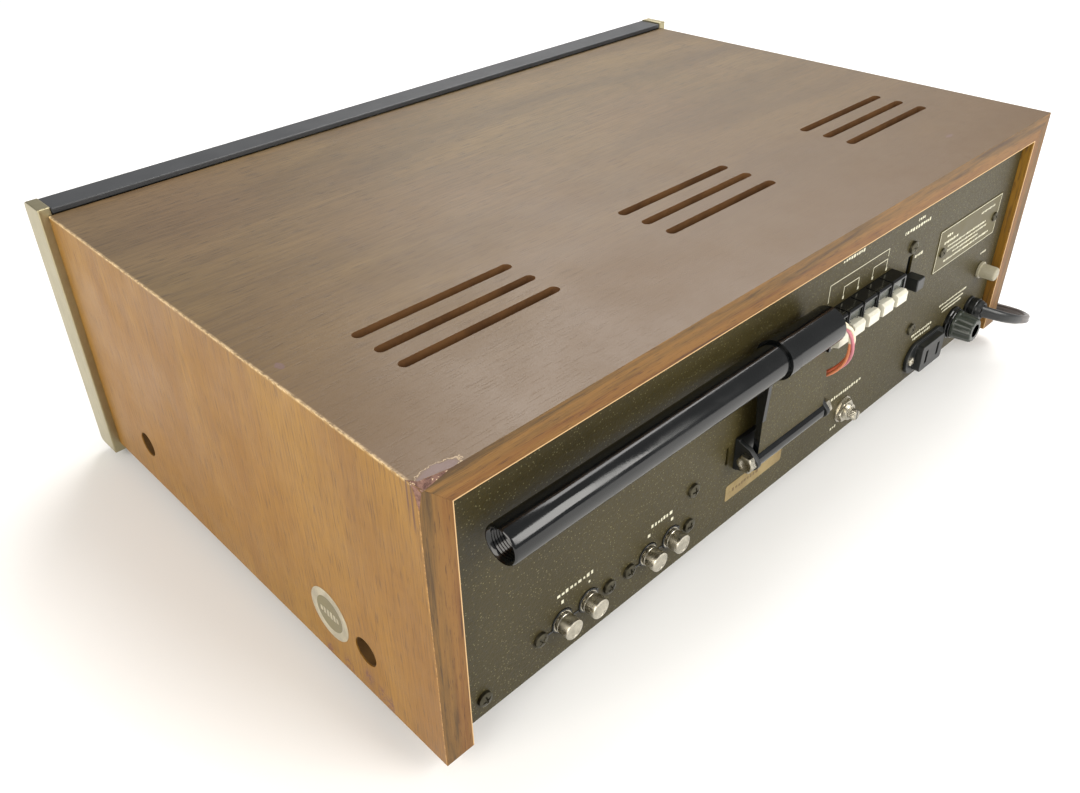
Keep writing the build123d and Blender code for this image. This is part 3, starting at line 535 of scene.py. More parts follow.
# The ferrite aerial's lead: three thin wires from the bar's open end to a hole in the panel
LEAD_ROUTE = [
    (0.0120, 0.1559, 0.1071), (0.0020, 0.1575, 0.1072), (-0.0075, 0.1600, 0.1030),
    (-0.0125, 0.1610, 0.0930), (-0.0150, 0.1590, 0.0815), (-0.0142, 0.1540, 0.0735),
    (-0.0110, 0.1475, 0.0690), (-0.0090, 0.1385, 0.0670),
]
LEAD_LINE = read_route(LEAD_ROUTE, 12)
WIRE_R = 0.78 * MM


def build_wire(turn_from):
    """One of three wires twisted loosely about the lead's line."""
    def build(shape):
        ways = tangents(LEAD_LINE)
        line = []
        for step, (place, way) in enumerate(zip(LEAD_LINE, ways)):
            side = way.cross(Vector((0, 1, 0))).normalized()
            top = side.cross(way)
            angle = turn_from + 2.2 * math.pi * step / len(LEAD_LINE)
            line.append(place + (side * math.cos(angle) + top * math.sin(angle)) * 0.84 * MM)
        outline = [
            (WIRE_R * math.cos(2 * math.pi * s / 12), WIRE_R * math.sin(2 * math.pi * s / 12))
            for s in range(12)
        ]
        sweep(shape, line, outline, Vector((0, 1, 0)))
    return build


lead_wires = [
    new_piece(f"lead_wire_{number}", None, build_wire(start), None)
    for number, start in ((1, 0.0), (2, 2.1), (3, 4.2))
]
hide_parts("antenna_lead")
for wire in lead_wires:
    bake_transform(wire)

# ---------------------------------------------------------------- finishes


def tone(red, green, blue):
    """A display colour, 0 to 255 a channel, as the linear values that a shader takes."""
    def linear(value):
        value /= 255
        return value / 12.92 if value <= 0.04045 else ((value + 0.055) / 1.055) ** 2.4
    return linear(red), linear(green), linear(blue)


def spot(nodes, place, reach):
    """One at a point, falling to nought at a distance of reach along each axis."""
    share = None
    for letter, value, size in zip("XYZ", place, reach):
        if size is None:
            continue
        part = nodes.near(letter, value, size)
        share = part if share is None else nodes.sum("MULTIPLY", share, part)
    return share


def wood_grain(nodes, along, dark, light, warm, pore):
    """Veneer: broad figure, fine fibres and short dark pores, all drawn out along one axis."""
    figure = nodes.noise(1.0, 5, 0.6, nodes.drawn(along, 5, 26), bend=0.6)
    fibre = nodes.noise(1.0, 6, 0.7, nodes.drawn(along, 30, 900))
    patch = nodes.noise(5.0, 3, 0.5)
    pores = nodes.noise(1.0, 2, 0.5, nodes.drawn(along, 90, 1500))
    base = nodes.layer(dark, light, figure, (0.35, 0.0), (0.68, 1.0))
    base = nodes.layer(base, warm, patch, (0.42, 0.0), (0.66, 0.55))
    base = nodes.layer(base, pore, fibre, (0.3, 0.55), (0.60, 0.0))
    pore_share = nodes.ramp(pores, (0.57, 0.0), (0.66, 0.75))
    base = nodes.mix(pore_share, base, pore)
    height = nodes.sum("SUBTRACT", fibre, nodes.sum("MULTIPLY", pore_share, 1.2))
    return base, height


def veneer_top():
    nodes = Nodes("veneer_top", Specular_IOR_Level=0.42, Coat_Weight=0.12, Coat_Roughness=0.35)
    base, height = wood_grain(
        nodes, "X", tone(94, 76, 48), tone(118, 96, 60), tone(108, 82, 58), tone(60, 46, 28),
    )
    # The rear of the top is painted darker and more golden than the front: painted shade, standing for the
    # sheen that the light lays on the front.
    rear = nodes.sum("MULTIPLY_ADD", nodes.axis("Y"), 3.4, 0.48)
    base = nodes.layer(base, tone(86, 60, 20), rear, (0.35, 0.0), (0.95, 0.9))
    # Bruised patches by the knocked corner and small scars where the photograph shows them
    scar_noise = nodes.noise(420, 4, 0.7)
    for x, y, wide, deep in (
        (0.2110, 0.1478, 0.0130, 0.0052), (0.2130, 0.0640, 0.0025, 0.0040), (-0.1500, 0.1260, 0.0050, 0.0020),
    ):
        share = nodes.sum("MULTIPLY_ADD", scar_noise, 0.5, spot(nodes, (x, y, None), (wide, deep, None)))
        base = nodes.layer(base, tone(98, 74, 68), share, (0.54, 0.0), (0.60, 0.4), (0.66, 0.85))
        if wide > 0.01:
            base = nodes.layer(base, tone(190, 166, 130), share, (0.50, 0.0), (0.53, 0.7), (0.56, 0.0))
    # Worn, pale arris along the +X edge
    arris = nodes.worn("X", CASE_SIDE, 0.0011, scar_noise, (0.40, 0.2), (0.58, 1.0))
    base = nodes.mix(arris, base, tone(205, 176, 132))
    nodes.colour(base)
    nodes.rough(nodes.ramp(nodes.noise(24, 4), (0.3, 0.36), (0.7, 0.50)))
    nodes.bump(height, 0.22, 0.0002)
    return nodes.material


def veneer_side():
    nodes = Nodes("veneer_side", Specular_IOR_Level=0.4, Coat_Weight=0.08, Coat_Roughness=0.4)
    base, height = wood_grain(
        nodes, "Z", tone(124, 84, 16), tone(150, 109, 24), tone(136, 91, 24), tone(92, 60, 14),
    )
    fleck = nodes.noise(620, 4, 0.7)
    # Chips and bruises on the lower edge by the rear screw
    for y, z, size in (
        (0.0890, 0.0130, 0.0070), (0.1030, 0.0185, 0.0060), (0.1110, 0.0160, 0.0050),
        (0.1160, 0.0140, 0.0050), (0.0750, 0.0120, 0.0050),
    ):
        share = nodes.sum(
            "MULTIPLY", spot(nodes, (None, y, z), (None, size * 0.6, size)),
            nodes.ramp(fleck, (0.46, 0.0), (0.56, 1.0)),
        )
        base = nodes.mix(nodes.sum("MINIMUM", nodes.sum("MULTIPLY", share, 2.2), 1.0), base, tone(98, 58, 44))
    arris = nodes.worn("Z", CASE_TOP, 0.0012, fleck, (0.40, 0.2), (0.58, 1.0))
    base = nodes.mix(arris, base, tone(222, 196, 146))
    arris = nodes.worn("Y", CASE_BACK, 0.0010, fleck, (0.44, 0.1), (0.62, 0.9))
    base = nodes.mix(arris, base, tone(206, 158, 92))
    # Two cracks run down from the crushed corner
    for y, low in ((0.1462, 0.1215), (0.1440, 0.1270)):
        line = nodes.worn("Y", y, 0.0007, nodes.axis("Z"), (low, 0.0), (low + 0.004, 1.0))
        base = nodes.mix(line, base, tone(70, 38, 34))
    nodes.colour(base)
    nodes.rough(nodes.ramp(nodes.noise(30, 4), (0.3, 0.40), (0.7, 0.56)))
    nodes.bump(height, 0.22, 0.0002)
    return nodes.material


def edge_wood(name, along, across, inner):
    """The solid lipping on a board's rear edge: layers across, streaks along, and a painted highlight along
    the inner arris.
    """
    nodes = Nodes(name, Specular_IOR_Level=0.35)
    streak = nodes.noise(1.0, 6, 0.7, nodes.drawn(along, 16, 300), bend=0.3)
    fine = nodes.noise(1.0, 3, 0.6, nodes.drawn(along, 110, 1500))
    depth = nodes.near(across, inner, 0.0105)
    base = nodes.layer(tone(82, 60, 24), tone(108, 68, 24), depth, (0.30, 0.0), (0.55, 1.0))
    base = nodes.layer(base, tone(128, 90, 38), streak, (0.40, 0.0), (0.60, 0.85))
    base = nodes.layer(base, tone(70, 44, 20), streak, (0.34, 0.8), (0.44, 0.0))
    base = nodes.layer(base, tone(56, 34, 18), fine, (0.56, 0.0), (0.68, 0.7))
    # A thin pale line along the inner arris: a painted highlight.
    base = nodes.layer(base, tone(222, 184, 132), nodes.near(across, inner, 0.0008), (0.2, 0.0), (0.6, 0.85))
    nodes.colour(base)
    nodes.rough(0.52)
    nodes.bump(nodes.sum("ADD", streak, fine), 0.35, 0.0002)
    return nodes.material


def crushed_wood():
    """Bruised, splintered fibres at the knocked corner."""
    nodes = Nodes("crushed_wood", Specular_IOR_Level=0.2)
    rag = nodes.noise(420, 6, 0.75, bend=0.8)
    base = nodes.layer(tone(86, 62, 56), tone(134, 102, 90), rag, (0.38, 0.0), (0.6, 1.0))
    base = nodes.layer(base, tone(226, 200, 164), nodes.noise(700, 3, 0.6), (0.62, 0.0), (0.70, 0.9))
    nodes.colour(base)
    nodes.rough(0.8)
    nodes.bump(rag, 0.9, 0.0008)
    return nodes.material


def painted_panel():
    """Dark olive-brown hammered enamel with a fine pale speckle."""
    nodes = Nodes("panel_paint", Specular_IOR_Level=0.28)
    cloud = nodes.noise(9, 4, 0.6)
    base = nodes.layer(tone(52, 45, 21), tone(65, 57, 27), cloud, (0.3, 0.0), (0.7, 1.0))
    speck = nodes.cells(680)
    fine = nodes.noise(1100, 3, 0.65)
    base = nodes.layer(base, tone(150, 144, 104), speck, (0.10, 0.5), (0.24, 0.0))
    base = nodes.layer(base, tone(36, 34, 22), fine, (0.36, 0.5), (0.5, 0.0))
    nodes.colour(base)
    nodes.rough(nodes.ramp(fine, (0.3, 0.40), (0.7, 0.56)))
    nodes.bump(nodes.sum("ADD", fine, nodes.noise(380, 3)), 0.45, 0.0003)
    return nodes.material


def plastic(name, colour, rough, coat=0.0, grain=900, depth=0.00004, over=None):
    """Moulded plastic: a slight mottle in colour and gloss, a fine skin, and what over lays on them."""
    nodes = Nodes(name, Specular_IOR_Level=0.5, Coat_Weight=coat, Coat_Roughness=0.08)
    mottle = nodes.noise(60, 4, 0.6)
    skin = nodes.noise(grain, 3, 0.6)
    darker = tuple(value * 0.78 for value in colour)
    lighter = tuple(min(1.0, value * 1.12 + 0.004) for value in colour)
    base = nodes.layer(darker, colour, mottle, (0.3, 0.0), (0.7, 1.0))
    base = nodes.layer(base, lighter, skin, (0.58, 0.0), (0.72, 0.6))
    nodes.colour(over(nodes, base) if over else base)
    nodes.rough(nodes.ramp(mottle, (0.3, max(rough - 0.06, 0.03)), (0.7, rough + 0.08)))
    nodes.bump(skin, 0.25, depth)
    return nodes.material


def metal(name, colour, rough, brushed=None, tarnish=0.25):
    """Plated or brushed metal: drawn scratches along an axis, or fine pits, and a dull patchy film."""
    nodes = Nodes(name, Metallic=1.0)
    place = nodes.drawn(brushed, 14, 2200) if brushed else nodes.drawn(None, 260, 260)
    scratch = nodes.noise(1.0, 5, 0.65, place)
    film = nodes.noise(140, 4, 0.65)
    dull = tuple(value * (1 - tarnish) for value in colour)
    base = nodes.layer(colour, dull, film, (0.38, 0.0), (0.66, 1.0))
    base = nodes.layer(base, dull, scratch, (0.35, 0.3), (0.5, 0.0))
    nodes.colour(base)
    nodes.rough(nodes.ramp(scratch, (0.3, max(rough - 0.07, 0.05)), (0.7, rough + 0.1)))
    nodes.bump(scratch, 0.12, 0.00004)
    return nodes.material


def cream_sleeve(nodes, base):
    """A short cream sleeve where a wire leaves the aerial bar."""
    height = nodes.sum("MULTIPLY", nodes.axis("Z"), 10.0)
    return nodes.layer(base, tone(232, 220, 192), height, (0.915, 0.0), (0.922, 1.0))


def glass():
    nodes = Nodes("clear_glass", Transmission_Weight=1.0, IOR=1.46)
    nodes.colour(nodes.layer((0.92, 0.96, 0.95), (0.97, 0.99, 0.98), nodes.noise(30), (0.4, 0.0), (0.6, 1.0)))
    nodes.rough(nodes.ramp(nodes.noise(90), (0.3, 0.0), (0.7, 0.05)))
    return nodes.material


def paper(name, colour, mark):
    """Aged paper or printed film with a fibrous, stained surface."""
    nodes = Nodes(name, Specular_IOR_Level=0.25)
    fibre = nodes.noise(260, 5, 0.7)
    stain = nodes.noise(70, 4, 0.6)
    base = nodes.layer(colour, mark, stain, (0.4, 0.0), (0.68, 0.6))
    base = nodes.layer(base, mark, fibre, (0.56, 0.0), (0.68, 0.4))
    nodes.colour(base)
    nodes.rough(nodes.ramp(fibre, (0.3, 0.5), (0.7, 0.7)))
    nodes.bump(fibre, 0.2, 0.0001)
    return nodes.material


SLOTS = {
    "veneer_top": veneer_top(),
    "veneer_side": veneer_side(),
    "panel_paint": painted_panel(),
    "zinc_steel": metal("zinc_steel", tone(176, 174, 166), 0.36, "X"),
    "screw_dark": metal("screw_dark", tone(92, 88, 74), 0.42, tarnish=0.45),
    "champagne_aluminium": metal("champagne_aluminium", tone(172, 163, 132), 0.36, "Z", 0.10),
    "strip_black": plastic("strip_black", tone(50, 52, 55), 0.38),
    "gloss_black": plastic("gloss_black", tone(9, 11, 12), 0.12),
    "satin_black": plastic("satin_black", tone(24, 26, 26), 0.36),
    "white_plastic": plastic("white_plastic", tone(226, 222, 204), 0.34, coat=0.15),
    "nickel": metal("nickel", tone(206, 200, 184), 0.26, tarnish=0.35),
    "clear_glass": glass(),
    "scale_black": plastic("scale_black", tone(16, 18, 22), 0.3),
    "pointer_red": plastic("pointer_red", tone(190, 40, 26), 0.3),
    "foot_rubber": plastic("foot_rubber", tone(30, 29, 28), 0.72, grain=500, depth=0.0001),
    "board_phenolic": plastic("board_phenolic", tone(140, 96, 52), 0.5),
    "can_tin": metal("can_tin", tone(200, 198, 190), 0.3),
    "core_iron": plastic("core_iron", tone(52, 46, 40), 0.55, grain=300),
    "capacitor_sleeve": plastic("capacitor_sleeve", tone(34, 54, 96), 0.3),
    "lead_plastic": plastic("lead_plastic", tone(206, 106, 70), 0.36),
    "cord_plastic": plastic("cord_plastic", tone(66, 58, 54), 0.34, grain=500),
    "thumb_plastic": plastic("thumb_plastic", tone(156, 150, 128), 0.42),
}
PRINT_CREAM = plastic("print_cream", tone(226, 222, 196), 0.5)
EDGE_TOP = edge_wood("edge_top", "X", "Z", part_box("case_top")[0].z)
EDGE_RIGHT = edge_wood("edge_right", "Z", "X", CASE_SIDE - BOARD)
EDGE_LEFT = edge_wood("edge_left", "Z", "X", -CASE_SIDE + BOARD)
CRUSHED = crushed_wood()
SLOT_WALL = paper("slot_wall", tone(104, 72, 42), tone(66, 42, 24))

for node_name, node in frame["nodes"].items():
    for place in range(len(node.data.materials)):
        node.data.materials[place] = SLOTS[node.data.materials[place].name.split(".")[0]]
mains_lead.data.materials.append(SLOTS["cord_plastic"])
strain_relief.data.materials.append(SLOTS["satin_black"])
WIRE_SKINS = (
    (tone(206, 100, 62), 0.36, cream_sleeve), (tone(214, 128, 84), 0.36, cream_sleeve),
    (tone(198, 120, 130), 0.4, None),
)
for wire, (colour, rough, over) in zip(lead_wires, WIRE_SKINS):
    wire.data.materials.append(plastic(f"{wire.name}_skin", colour, rough, over=over))

# ---------------------------------------------------------------- pieces that stand for CAD nodes

NODE_BODY = {
    node: body for body, nodes in frame["record"]["behaviour"]["bodies"].items() for node in nodes
}


def copied(node):
    """A CAD node's shape as a clean bmesh, with its split vertices joined and flat faces merged."""
    shape = bmesh.new()
    shape.from_mesh(frame["nodes"][node].data)
    bmesh.ops.remove_doubles(shape, verts=shape.verts, dist=1e-6)
    bmesh.ops.dissolve_limit(
        shape, angle_limit=math.radians(0.6), verts=shape.verts, edges=shape.edges,
    )
    return shape


def soften_edges(shape, width, least=32):
    """Rounds every edge sharper than an angle."""
    sharp = [
        edge for edge in shape.edges
        if edge.is_manifold and edge.calc_face_angle(0) > math.radians(least)
    ]
    bmesh.ops.bevel(
        shape, geom=sharp, offset=width, segments=2, profile=0.5,
        affect="EDGES", clamp_overlap=True,
    )


def cut_away(shape, point, normal, finish_index):
    """Cuts off everything beyond a plane and closes the cut with a face of another finish."""
    cut = bmesh.ops.bisect_plane(
        shape, geom=shape.verts[:] + shape.edges[:] + shape.faces[:], dist=1e-7,
        plane_co=point, plane_no=normal, clear_outer=True,
    )
    rim = [item for item in cut["geom_cut"] if isinstance(item, bmesh.types.BMEdge)]
    closed = bmesh.ops.holes_fill(shape, edges=rim, sides=0)
    for face in closed["faces"]:
        face.material_index = finish_index


BLOCK_FOOT = 0.0850


def dress(node, name, bevel):
    """A CAD node's own shape with rounded edges, standing for the node."""
    slot_name = frame["nodes"][node].data.materials[0].name.split(".")[0]
    shape = copied(node)
    if node == "terminal_block":
        # The cells' lower rim is hidden in the photograph, so the block ends behind the levers
        cut_away(shape, (0, 0, BLOCK_FOOT), (0, 0, -1), 0)
    soften_edges(shape, bevel)
    piece = placed(name, shape)
    piece.data.materials.append(SLOTS[slot_name])
    soften(piece.data)
    flatten(piece)
    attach(piece, NODE_BODY[node])
    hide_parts(node)
    return piece


# The knocked corner at +X, rear, top: each row is a plane's normal and how far in from the corner it cuts
KNOCKS = (
    ((1.0, 1.0, 1.0), 0.0022), ((0.20, 1.0, 0.8), 0.0020), ((1.0, 0.8, 0.22), 0.0017),
    ((0.9, 0.25, 1.0), 0.0011), ((0.55, 0.35, 1.0), 0.0016),
)


def in_vents(place):
    """Whether a place is well inside the top board's outline, where only the vent slots have walls."""
    return place.y > CASE_FRONT + MM and abs(place.x) < CASE_SIDE - 0.02


def wood_board(node, name, face, edge, knocked=False):
    """A board with its veneer, its rear lipping, a crushed corner and its slots' walls."""
    shape = copied(node)
    if knocked:
        corner = Vector((CASE_SIDE, CASE_BACK, CASE_TOP))
        for normal, depth in KNOCKS:
            way = Vector(normal).normalized()
            cut_away(shape, corner - way * depth, way, 2)
    soften_edges(shape, 0.5 * MM, 30)
    for polygon in shape.faces:
        polygon.normal_update()
        centre = polygon.calc_center_median()
        if polygon.material_index == 2:
            continue
        if centre.y > CASE_BACK - MM:
            polygon.material_index = 1
        elif node == "case_top" and abs(polygon.normal.z) < 0.9 and in_vents(centre):
            polygon.material_index = 3
    piece = placed(name, shape)
    for finish in (SLOTS[face], edge, CRUSHED, SLOT_WALL):
        piece.data.materials.append(finish)
    soften(piece.data, 40)
    flatten(piece)
    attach(piece, "chassis")
    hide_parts(node)
    return piece


wood_board("case_top", "board_top", "veneer_top", EDGE_TOP, knocked=True)
wood_board("case_side_right", "board_right", "veneer_side", EDGE_RIGHT, knocked=True)
wood_board("case_side_left", "board_left", "veneer_side", EDGE_LEFT)

for node_name, width in (
    ("bezel_ends", 0.6), ("bezel_strips", 0.5), ("antenna_bracket", 0.35),
    ("antenna_mount", 0.4), ("antenna_switch_knob", 0.4), ("ac_outlet", 0.45),
    ("terminal_block", 0.25), ("feet", 1.2), ("terminal_lever_1", 0.45), ("terminal_lever_2", 0.45),
    ("terminal_lever_3", 0.45), ("terminal_lever_4", 0.45), ("terminal_lever_5", 0.45),
    ("mains_plug", 0.6), ("power_button", 0.6), ("muting_button", 0.6), ("front_fascia", 0.5),
):
    dress(node_name, f"{node_name}_shape", width * MM)

# The bracket's broad outer face takes the panel's enamel, as the photograph shows
bracket = bpy.data.objects["antenna_bracket_shape"]
bracket.data.materials.append(SLOTS["panel_paint"])
for polygon in bracket.data.polygons:
    if polygon.normal.y > 0.95 and polygon.area > 60 * MM * MM:
        polygon.material_index = 1

# ---------------------------------------------------------------- screws and fittings

BACKWARD = Vector((0, 1, 0))


def add_screw_head(shape, at, way, radius, height, dome, cross=None, slot_turn=0.0):
    """A pan head with a domed top and a sunk cross (or a single slot), on a polar grid."""
    sectors, rings = 72, 18
    turn = frame_along(way)
    arm, depth = radius * 0.13, height * 0.45
    reach = radius * 0.62

    def top(x, y):
        level = height - dome * ((x * x + y * y) / radius ** 2)
        turned_x = x * math.cos(slot_turn) + y * math.sin(slot_turn)
        turned_y = -x * math.sin(slot_turn) + y * math.cos(slot_turn)
        across, along = abs(turned_x), abs(turned_y)
        in_first = across < arm and along < reach
        in_second = along < arm and across < reach
        if in_first or (cross and in_second):
            fade = 1 - max(across, along) / reach * 0.6
            level -= depth * (fade if cross else 1.0)
        return level
    centre = shape.verts.new(Vector(at) + turn @ Vector((0, 0, top(0, 0))))
    previous = None
    for ring in range(1, rings + 1):
        span = radius * 0.985 * ring / rings
        current = []
        for sector in range(sectors):
            angle = 2 * math.pi * sector / sectors
            x, y = span * math.cos(angle), span * math.sin(angle)
            current.append(shape.verts.new(Vector(at) + turn @ Vector((x, y, top(x, y)))))
        for sector in range(sectors):
            following = (sector + 1) % sectors
            if previous is None:
                shape.faces.new((centre, current[sector], current[following]))
            else:
                shape.faces.new((previous[sector], current[sector], current[following], previous[following]))
        previous = current
    for share, level in ((1.0, height - dome - height * 0.08), (1.0, 0.0)):
        current = []
        for sector in range(sectors):
            angle = 2 * math.pi * sector / sectors
            spot_at = Vector((radius * share * math.cos(angle), radius * share * math.sin(angle), level))
            current.append(shape.verts.new(Vector(at) + turn @ spot_at))
        for sector in range(sectors):
            following = (sector + 1) % sectors
            shape.faces.new((previous[sector], current[sector], current[following], previous[following]))
        previous = current
    shape.faces.new(previous[::-1])


PANEL_SCREWS = (
    (-0.1970, 0.0232), (0.1970, 0.0232), (0.0755, 0.0505), (-0.0923, 0.1052), (-0.1110, 0.0498),
    (0.1676, 0.0315), (0.1284, 0.0315), (0.1161, 0.0315), (0.0769, 0.0315),
)
JACK_Z = 0.0325
JACK_X = (0.1555, 0.1405, 0.1040, 0.0890)


def build_panel_screws(shape):
    for number, (x, z) in enumerate(PANEL_SCREWS):
        add_screw_head(
            shape, (x, PANEL_FACE, z), BACKWARD, 3.3 * MM, 2.0 * MM, 0.7 * MM, cross=True,
            slot_turn=0.5 + number * 1.3,
        )


panel_screws = new_piece("panel_screws", "chassis", build_panel_screws, SLOTS["screw_dark"])
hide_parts("rear_panel_screws")


CASE_SCREW_Y = (-0.0788, 0.1035)
CASE_SCREW_Z = 0.0335


def build_case_screws(shape):
    """The heads sit a little off the middle of their sinks, as the photograph shows."""
    sink = 8.0 * MM
    for side in (-1, 1):
        for y in CASE_SCREW_Y:
            add_screw_head(
                shape, (side * (CASE_SIDE - sink + 0.2 * MM), y + 1.0 * MM, CASE_SCREW_Z - 0.4 * MM),
                (side, 0, 0), 4.4 * MM, 3.0 * MM, 1.2 * MM, cross=True, slot_turn=0.4,
            )


case_screw_heads = new_piece("case_screw_heads", "chassis", build_case_screws, SLOTS["nickel"])
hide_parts("case_screws")


def build_sinks(shape):
    """Dark linings of the screws' counterbores in the case sides."""
    profile = ((0, 0), (6.42, 0), (6.42, 7.4), (6.2, 7.4), (6.2, 0.12), (0, 0.12))
    for side in (-1, 1):
        for y in CASE_SCREW_Y:
            add_turned(
                shape, (side * (CASE_SIDE - 7.9 * MM), y, CASE_SCREW_Z), (side, 0, 0),
                millimetres(profile), 40,
            )


screw_sinks = new_piece(
    "screw_sinks", "chassis", build_sinks, paper("sink_wood", tone(92, 66, 34), tone(58, 38, 20)),
)

# Shorting caps: plain nickel cups with a lip, on dark fibre washers
for number, x in enumerate(JACK_X, start=1):
    start = PANEL_FACE + 1.0 * MM

    def build_cap(shape, x=x, start=start):
        profile = (
            (4.25, 0), (4.55, 0.0), (4.6, 0.2), (4.6, 0.9), (4.48, 1.05), (4.48, 1.4), (4.6, 1.55),
            (4.6, 5.7), (4.48, 6.0), (4.2, 6.18), (3.5, 6.2), (3.3, 6.05), (1.2, 6.0), (0, 5.97),
        )
        add_turned(
            shape, (x, start, JACK_Z), BACKWARD, millimetres(profile), 56,
        )
        add_turned(
            shape, (x, start, JACK_Z), BACKWARD,
            millimetres(((4.25, 0), (4.25, 4.4), (0, 4.4))), 40,
        )
    cap = new_piece(f"cap_cup_{number}", f"cap_{number}", build_cap, SLOTS["nickel"])
    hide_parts(f"shorting_cap_{number}")


def build_jacks(shape):
    """The sockets' sleeves under the caps, with an insulated bore."""
    for x in JACK_X:
        profile = (
            (4.9, -0.1), (4.9, 0.5), (4.15, 0.7), (4.15, 4.6), (3.9, 5.0), (1.75, 5.0), (1.75, 1.0), (0, 1.0),
        )
        add_turned(shape, (x, PANEL_FACE, JACK_Z), BACKWARD, millimetres(profile), 48)


jack_sleeves = new_piece("jack_sleeves", "chassis", build_jacks, SLOTS["nickel"])
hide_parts("phono_sockets")


def build_washers_and_slot_shade(shape):
    """Black fibre washers round the sockets, and flat black patches standing for the slots of their shields:
    painted shade of the openings.
    """
    for x in JACK_X:
        profile = ((4.95, 0), (5.5, 0), (5.5, 0.35), (5.3, 0.5), (4.95, 0.5))
        add_turned(
            shape, (x, PANEL_FACE, JACK_Z), BACKWARD,
            millimetres((*profile, profile[0])), 48,
        )
    # Flat black patches on the panel face where the shield slots are: painted shade, no openings are cut.
    for pair_x in (0.148, 0.0965):
        for shift, drop, wide, tall in (
            (13.7, -2.0, 1.7, 1.0), (0.0, -1.6, 1.7, 1.0), (-12.6, 1.6, 0.5, 3.0),
        ):
            low = (pair_x + (shift - wide) * MM, PANEL_FACE, JACK_Z + (drop - tall / 2) * MM)
            high = (pair_x + (shift + wide) * MM, PANEL_FACE + 0.35 * MM, JACK_Z + (drop + tall / 2) * MM)
            add_box(shape, low, high, 0.12 * MM, 1)


socket_washers_and_slot_shade = new_piece("socket_washers_and_slot_shade", "chassis", build_washers_and_slot_shade, SLOTS["satin_black"])

# Aerial bar: a bright black tube, its rear end chamfered and threaded inside
BAR_LOW, BAR_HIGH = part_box("antenna_tube")
BAR_AT = (BAR_LOW + BAR_HIGH) / 2


def build_bar(shape):
    length = BAR_HIGH.x - BAR_LOW.x
    profile = [(6.2 * MM, 0), (7.4 * MM, 0), (7.7 * MM, 0.3 * MM)]
    profile += [(7.7 * MM, length * step / 8) for step in range(1, 8)]
    profile += [
        (7.7 * MM, length - 0.9 * MM), (7.45 * MM, length - 0.25 * MM), (7.1 * MM, length),
        (6.75 * MM, length - 0.1 * MM),
    ]
    depth = length - 0.9 * MM
    profile.append((6.0 * MM, depth))
    for _ in range(9):
        profile += [(5.72 * MM, depth - 0.5 * MM), (6.15 * MM, depth - 1.1 * MM)]
        depth -= 1.1 * MM
    profile += [(6.0 * MM, depth - 1.0 * MM), (6.0 * MM, 1.0 * MM), (6.2 * MM, 0)]
    add_turned(shape, (BAR_LOW.x, BAR_AT.y, BAR_AT.z), (1, 0, 0), profile, 72)


bar_tube = new_piece("bar_tube", "antenna", build_bar, SLOTS["gloss_black"])
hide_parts("antenna_tube")

# Hinge bolt: hexagon heads with a rounded crown
BOLT_LOW, BOLT_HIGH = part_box("pivot_bolt")
BOLT_AT = (BOLT_LOW + BOLT_HIGH) / 2


HEX_CHAMFER = 0.35


def add_hex_head(shape, at, way, flat, height):
    """A hexagon head, its outer corners turned off, with a shallow dish in the crown."""
    turn = frame_along(way)
    sides = 48
    rings = []
    corner = flat / math.cos(math.pi / 6)
    for level, share, roundness in (
        (0.0, 1.0, 0), (height * 0.72, 1.0, 0), (height * 0.9, 1.0, HEX_CHAMFER), (height, 0.9, 1.0),
        (height * 1.0, 0.62, 1.0), (height * 0.9, 0.5, 1.0), (height * 0.88, 0.0, 1.0),
    ):
        ring = []
        for step in range(sides):
            angle = 2 * math.pi * step / sides
            local = (angle % (math.pi / 3)) - math.pi / 6
            hexagon = flat / math.cos(local)
            radius = (hexagon * (1 - roundness) + flat * roundness) * share
            radius = min(radius, corner)
            ring.append(shape.verts.new(
                Vector(at) + turn @ Vector((radius * math.cos(angle), radius * math.sin(angle), level))
            ))
        rings.append(ring)
    for first, second in zip(rings, rings[1:]):
        join_rings(shape, first, second)
    shape.faces.new(rings[0][::-1])
    bmesh.ops.remove_doubles(shape, verts=shape.verts[:], dist=1e-7)


def build_bolt(shape):
    shank = BOLT_HIGH.x - BOLT_LOW.x - 6 * MM
    add_turned(
        shape, (BOLT_LOW.x + 3 * MM, BOLT_AT.y, BOLT_AT.z), (1, 0, 0),
        ((0, 0), (2 * MM, 0), (2 * MM, shank), (0, shank)), 24,
    )
    add_hex_head(shape, (BOLT_HIGH.x - 3.2 * MM, BOLT_AT.y, BOLT_AT.z), (1, 0, 0), 3.95 * MM, 3.2 * MM)
    add_hex_head(shape, (BOLT_LOW.x + 4.0 * MM, BOLT_AT.y, BOLT_AT.z), (-1, 0, 0), 3.95 * MM, 3.2 * MM)


hinge_bolt = new_piece("hinge_bolt", "chassis", build_bolt, SLOTS["nickel"])
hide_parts("pivot_bolt")

# Muting level control: nut, threaded bushing and a knurled shaft; the slot in its end is a painted black bar
# of shade
POT_AT = (-0.0493, 0.0290)


def build_pot(shape):
    at = (POT_AT[0], PANEL_FACE, POT_AT[1])
    add_turned(
        shape, at, BACKWARD,
        millimetres(((3.1, 0), (7.2, 0), (7.2, 0.5), (3.1, 0.6))), 40,
    )
    add_hex_head(shape, (at[0], PANEL_FACE + 0.5 * MM, at[2]), BACKWARD, 5.6 * MM, 2.4 * MM)
    profile = [(3.1, 0.4)]
    for thread in range(6):
        profile += [(4.5, 0.6 + thread * 0.72), (4.15, 0.95 + thread * 0.72)]
    profile += [(4.3, 4.8), (4.0, 5.0), (3.1, 5.0)]
    add_turned(shape, at, BACKWARD, millimetres(profile), 40)


pot_bushing = new_piece("pot_bushing", "chassis", build_pot, SLOTS["nickel"])
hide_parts("muting_pot")


